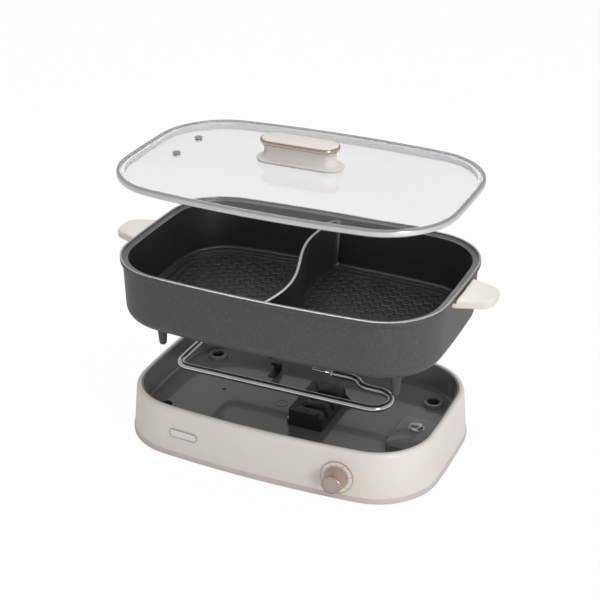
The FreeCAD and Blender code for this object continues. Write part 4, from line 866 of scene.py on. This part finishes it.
# Everything else keeps its CAD shape, with the edges softened where light would catch them
dressed("sensor_button", material=extraFinishes["buttonMetal"])
dressed("heater_rest", 0.2, material=finishes["black_matte"])
softened = {"socket_cups": 0.4, "sensor_collar": 0.15, "terminal_block": 0.7, "terminal_contacts": 0.1,
            "block_screws": 0.2, "heater_pins": 0.0, "heater_seals": 0.3, "name_plate": 0.15,
            "name_plate_rim": 0.2, "power_inlet": 0.4, "inlet_pins": 0.2, "pot_feet": 0.0,
            "vent_grommets": 0.0, "lid_handle_gasket": 0.2, "bottom_plate": 0.3, "rubber_feet": 0.0}
for node, edge in softened.items():
    dressed(node, edge)
for node, solid in frame["nodes"].items():
    if not solid.hide_render:
        solid.data.materials.clear()
        solid.data.materials.append(finishes[slots[node]])
print("carried nodes dressed")


# Floor, light and backdrop
def backdropFinish():
    # Pale floor that glows evenly for the camera, straight or through glass, and is lit for the rest
    f = Finish("paleFloor")
    f.surface(Base_Color=(0.9, 0.9, 0.9), Roughness=0.9)
    glow = f.nodes.new("ShaderNodeEmission")
    seen = f.rayKind("Is Camera Ray") + f.rayKind("Is Transmission Ray")
    f.mixShaders(seen.maths("MINIMUM", 1.0) * 0.975, f.shader, glow)
    return f.material


floorMesh = bpy.data.meshes.new("floor")
floorMesh.from_pydata([(-6, -6, 0), (6, -6, 0), (6, 6, 0), (-6, 6, 0)], [], [(0, 1, 2, 3)])
floorMesh.materials.append(backdropFinish())
floor = bpy.data.objects.new("floor", floorMesh)
bpy.context.scene.collection.objects.link(floor)

world = bpy.data.worlds.new("studio")
bpy.context.scene.world = world
world.use_nodes = True
worldNodes, worldLinks = world.node_tree.nodes, world.node_tree.links
worldPath = worldNodes.new("ShaderNodeLightPath")
worldLevel = worldNodes.new("ShaderNodeMapRange")
worldSeen = worldNodes.new("ShaderNodeMath")
worldSeen.operation = "ADD"
worldSeen.use_clamp = True
worldLinks.new(worldPath.outputs["Is Camera Ray"], worldSeen.inputs[0])
worldLinks.new(worldPath.outputs["Is Transmission Ray"], worldSeen.inputs[1])
worldLinks.new(worldSeen.outputs[0], worldLevel.inputs["Value"])
worldLevel.inputs["To Min"].default_value = 0.45
worldLevel.inputs["To Max"].default_value = 1.0
worldLinks.new(worldLevel.outputs[0], worldNodes["Background"].inputs["Strength"])
worldNodes["Background"].inputs["Color"].default_value = (1.0, 1.0, 1.0, 1.0)


def softBox(name, place, aim, size, watts, mirrored=True):
    lamp = bpy.data.lights.new(name, "AREA")
    lamp.shape = "RECTANGLE"
    lamp.size, lamp.size_y = size
    lamp.energy = watts
    holder = bpy.data.objects.new(name, lamp)
    bpy.context.scene.collection.objects.link(holder)
    holder.visible_glossy = mirrored
    holder.location = place
    holder.rotation_mode = "QUATERNION"
    holder.rotation_quaternion = (Vector(aim) - Vector(place)).to_track_quat("-Z", "Y")


softBox("keyRight", (1.30, -1.13, 0.42), (0.05, -0.1, 0.1), (0.30, 0.30), 7)
softBox("topRight", (1.0, -0.3, 1.6), (0, 0, 0.1), (1.2, 1.2), 11, mirrored=False)
softBox("topBack", (-0.5, 0.4, 1.9), (0, 0, 0.2), (1.0, 0.8), 10, mirrored=False)
print("studio ready")
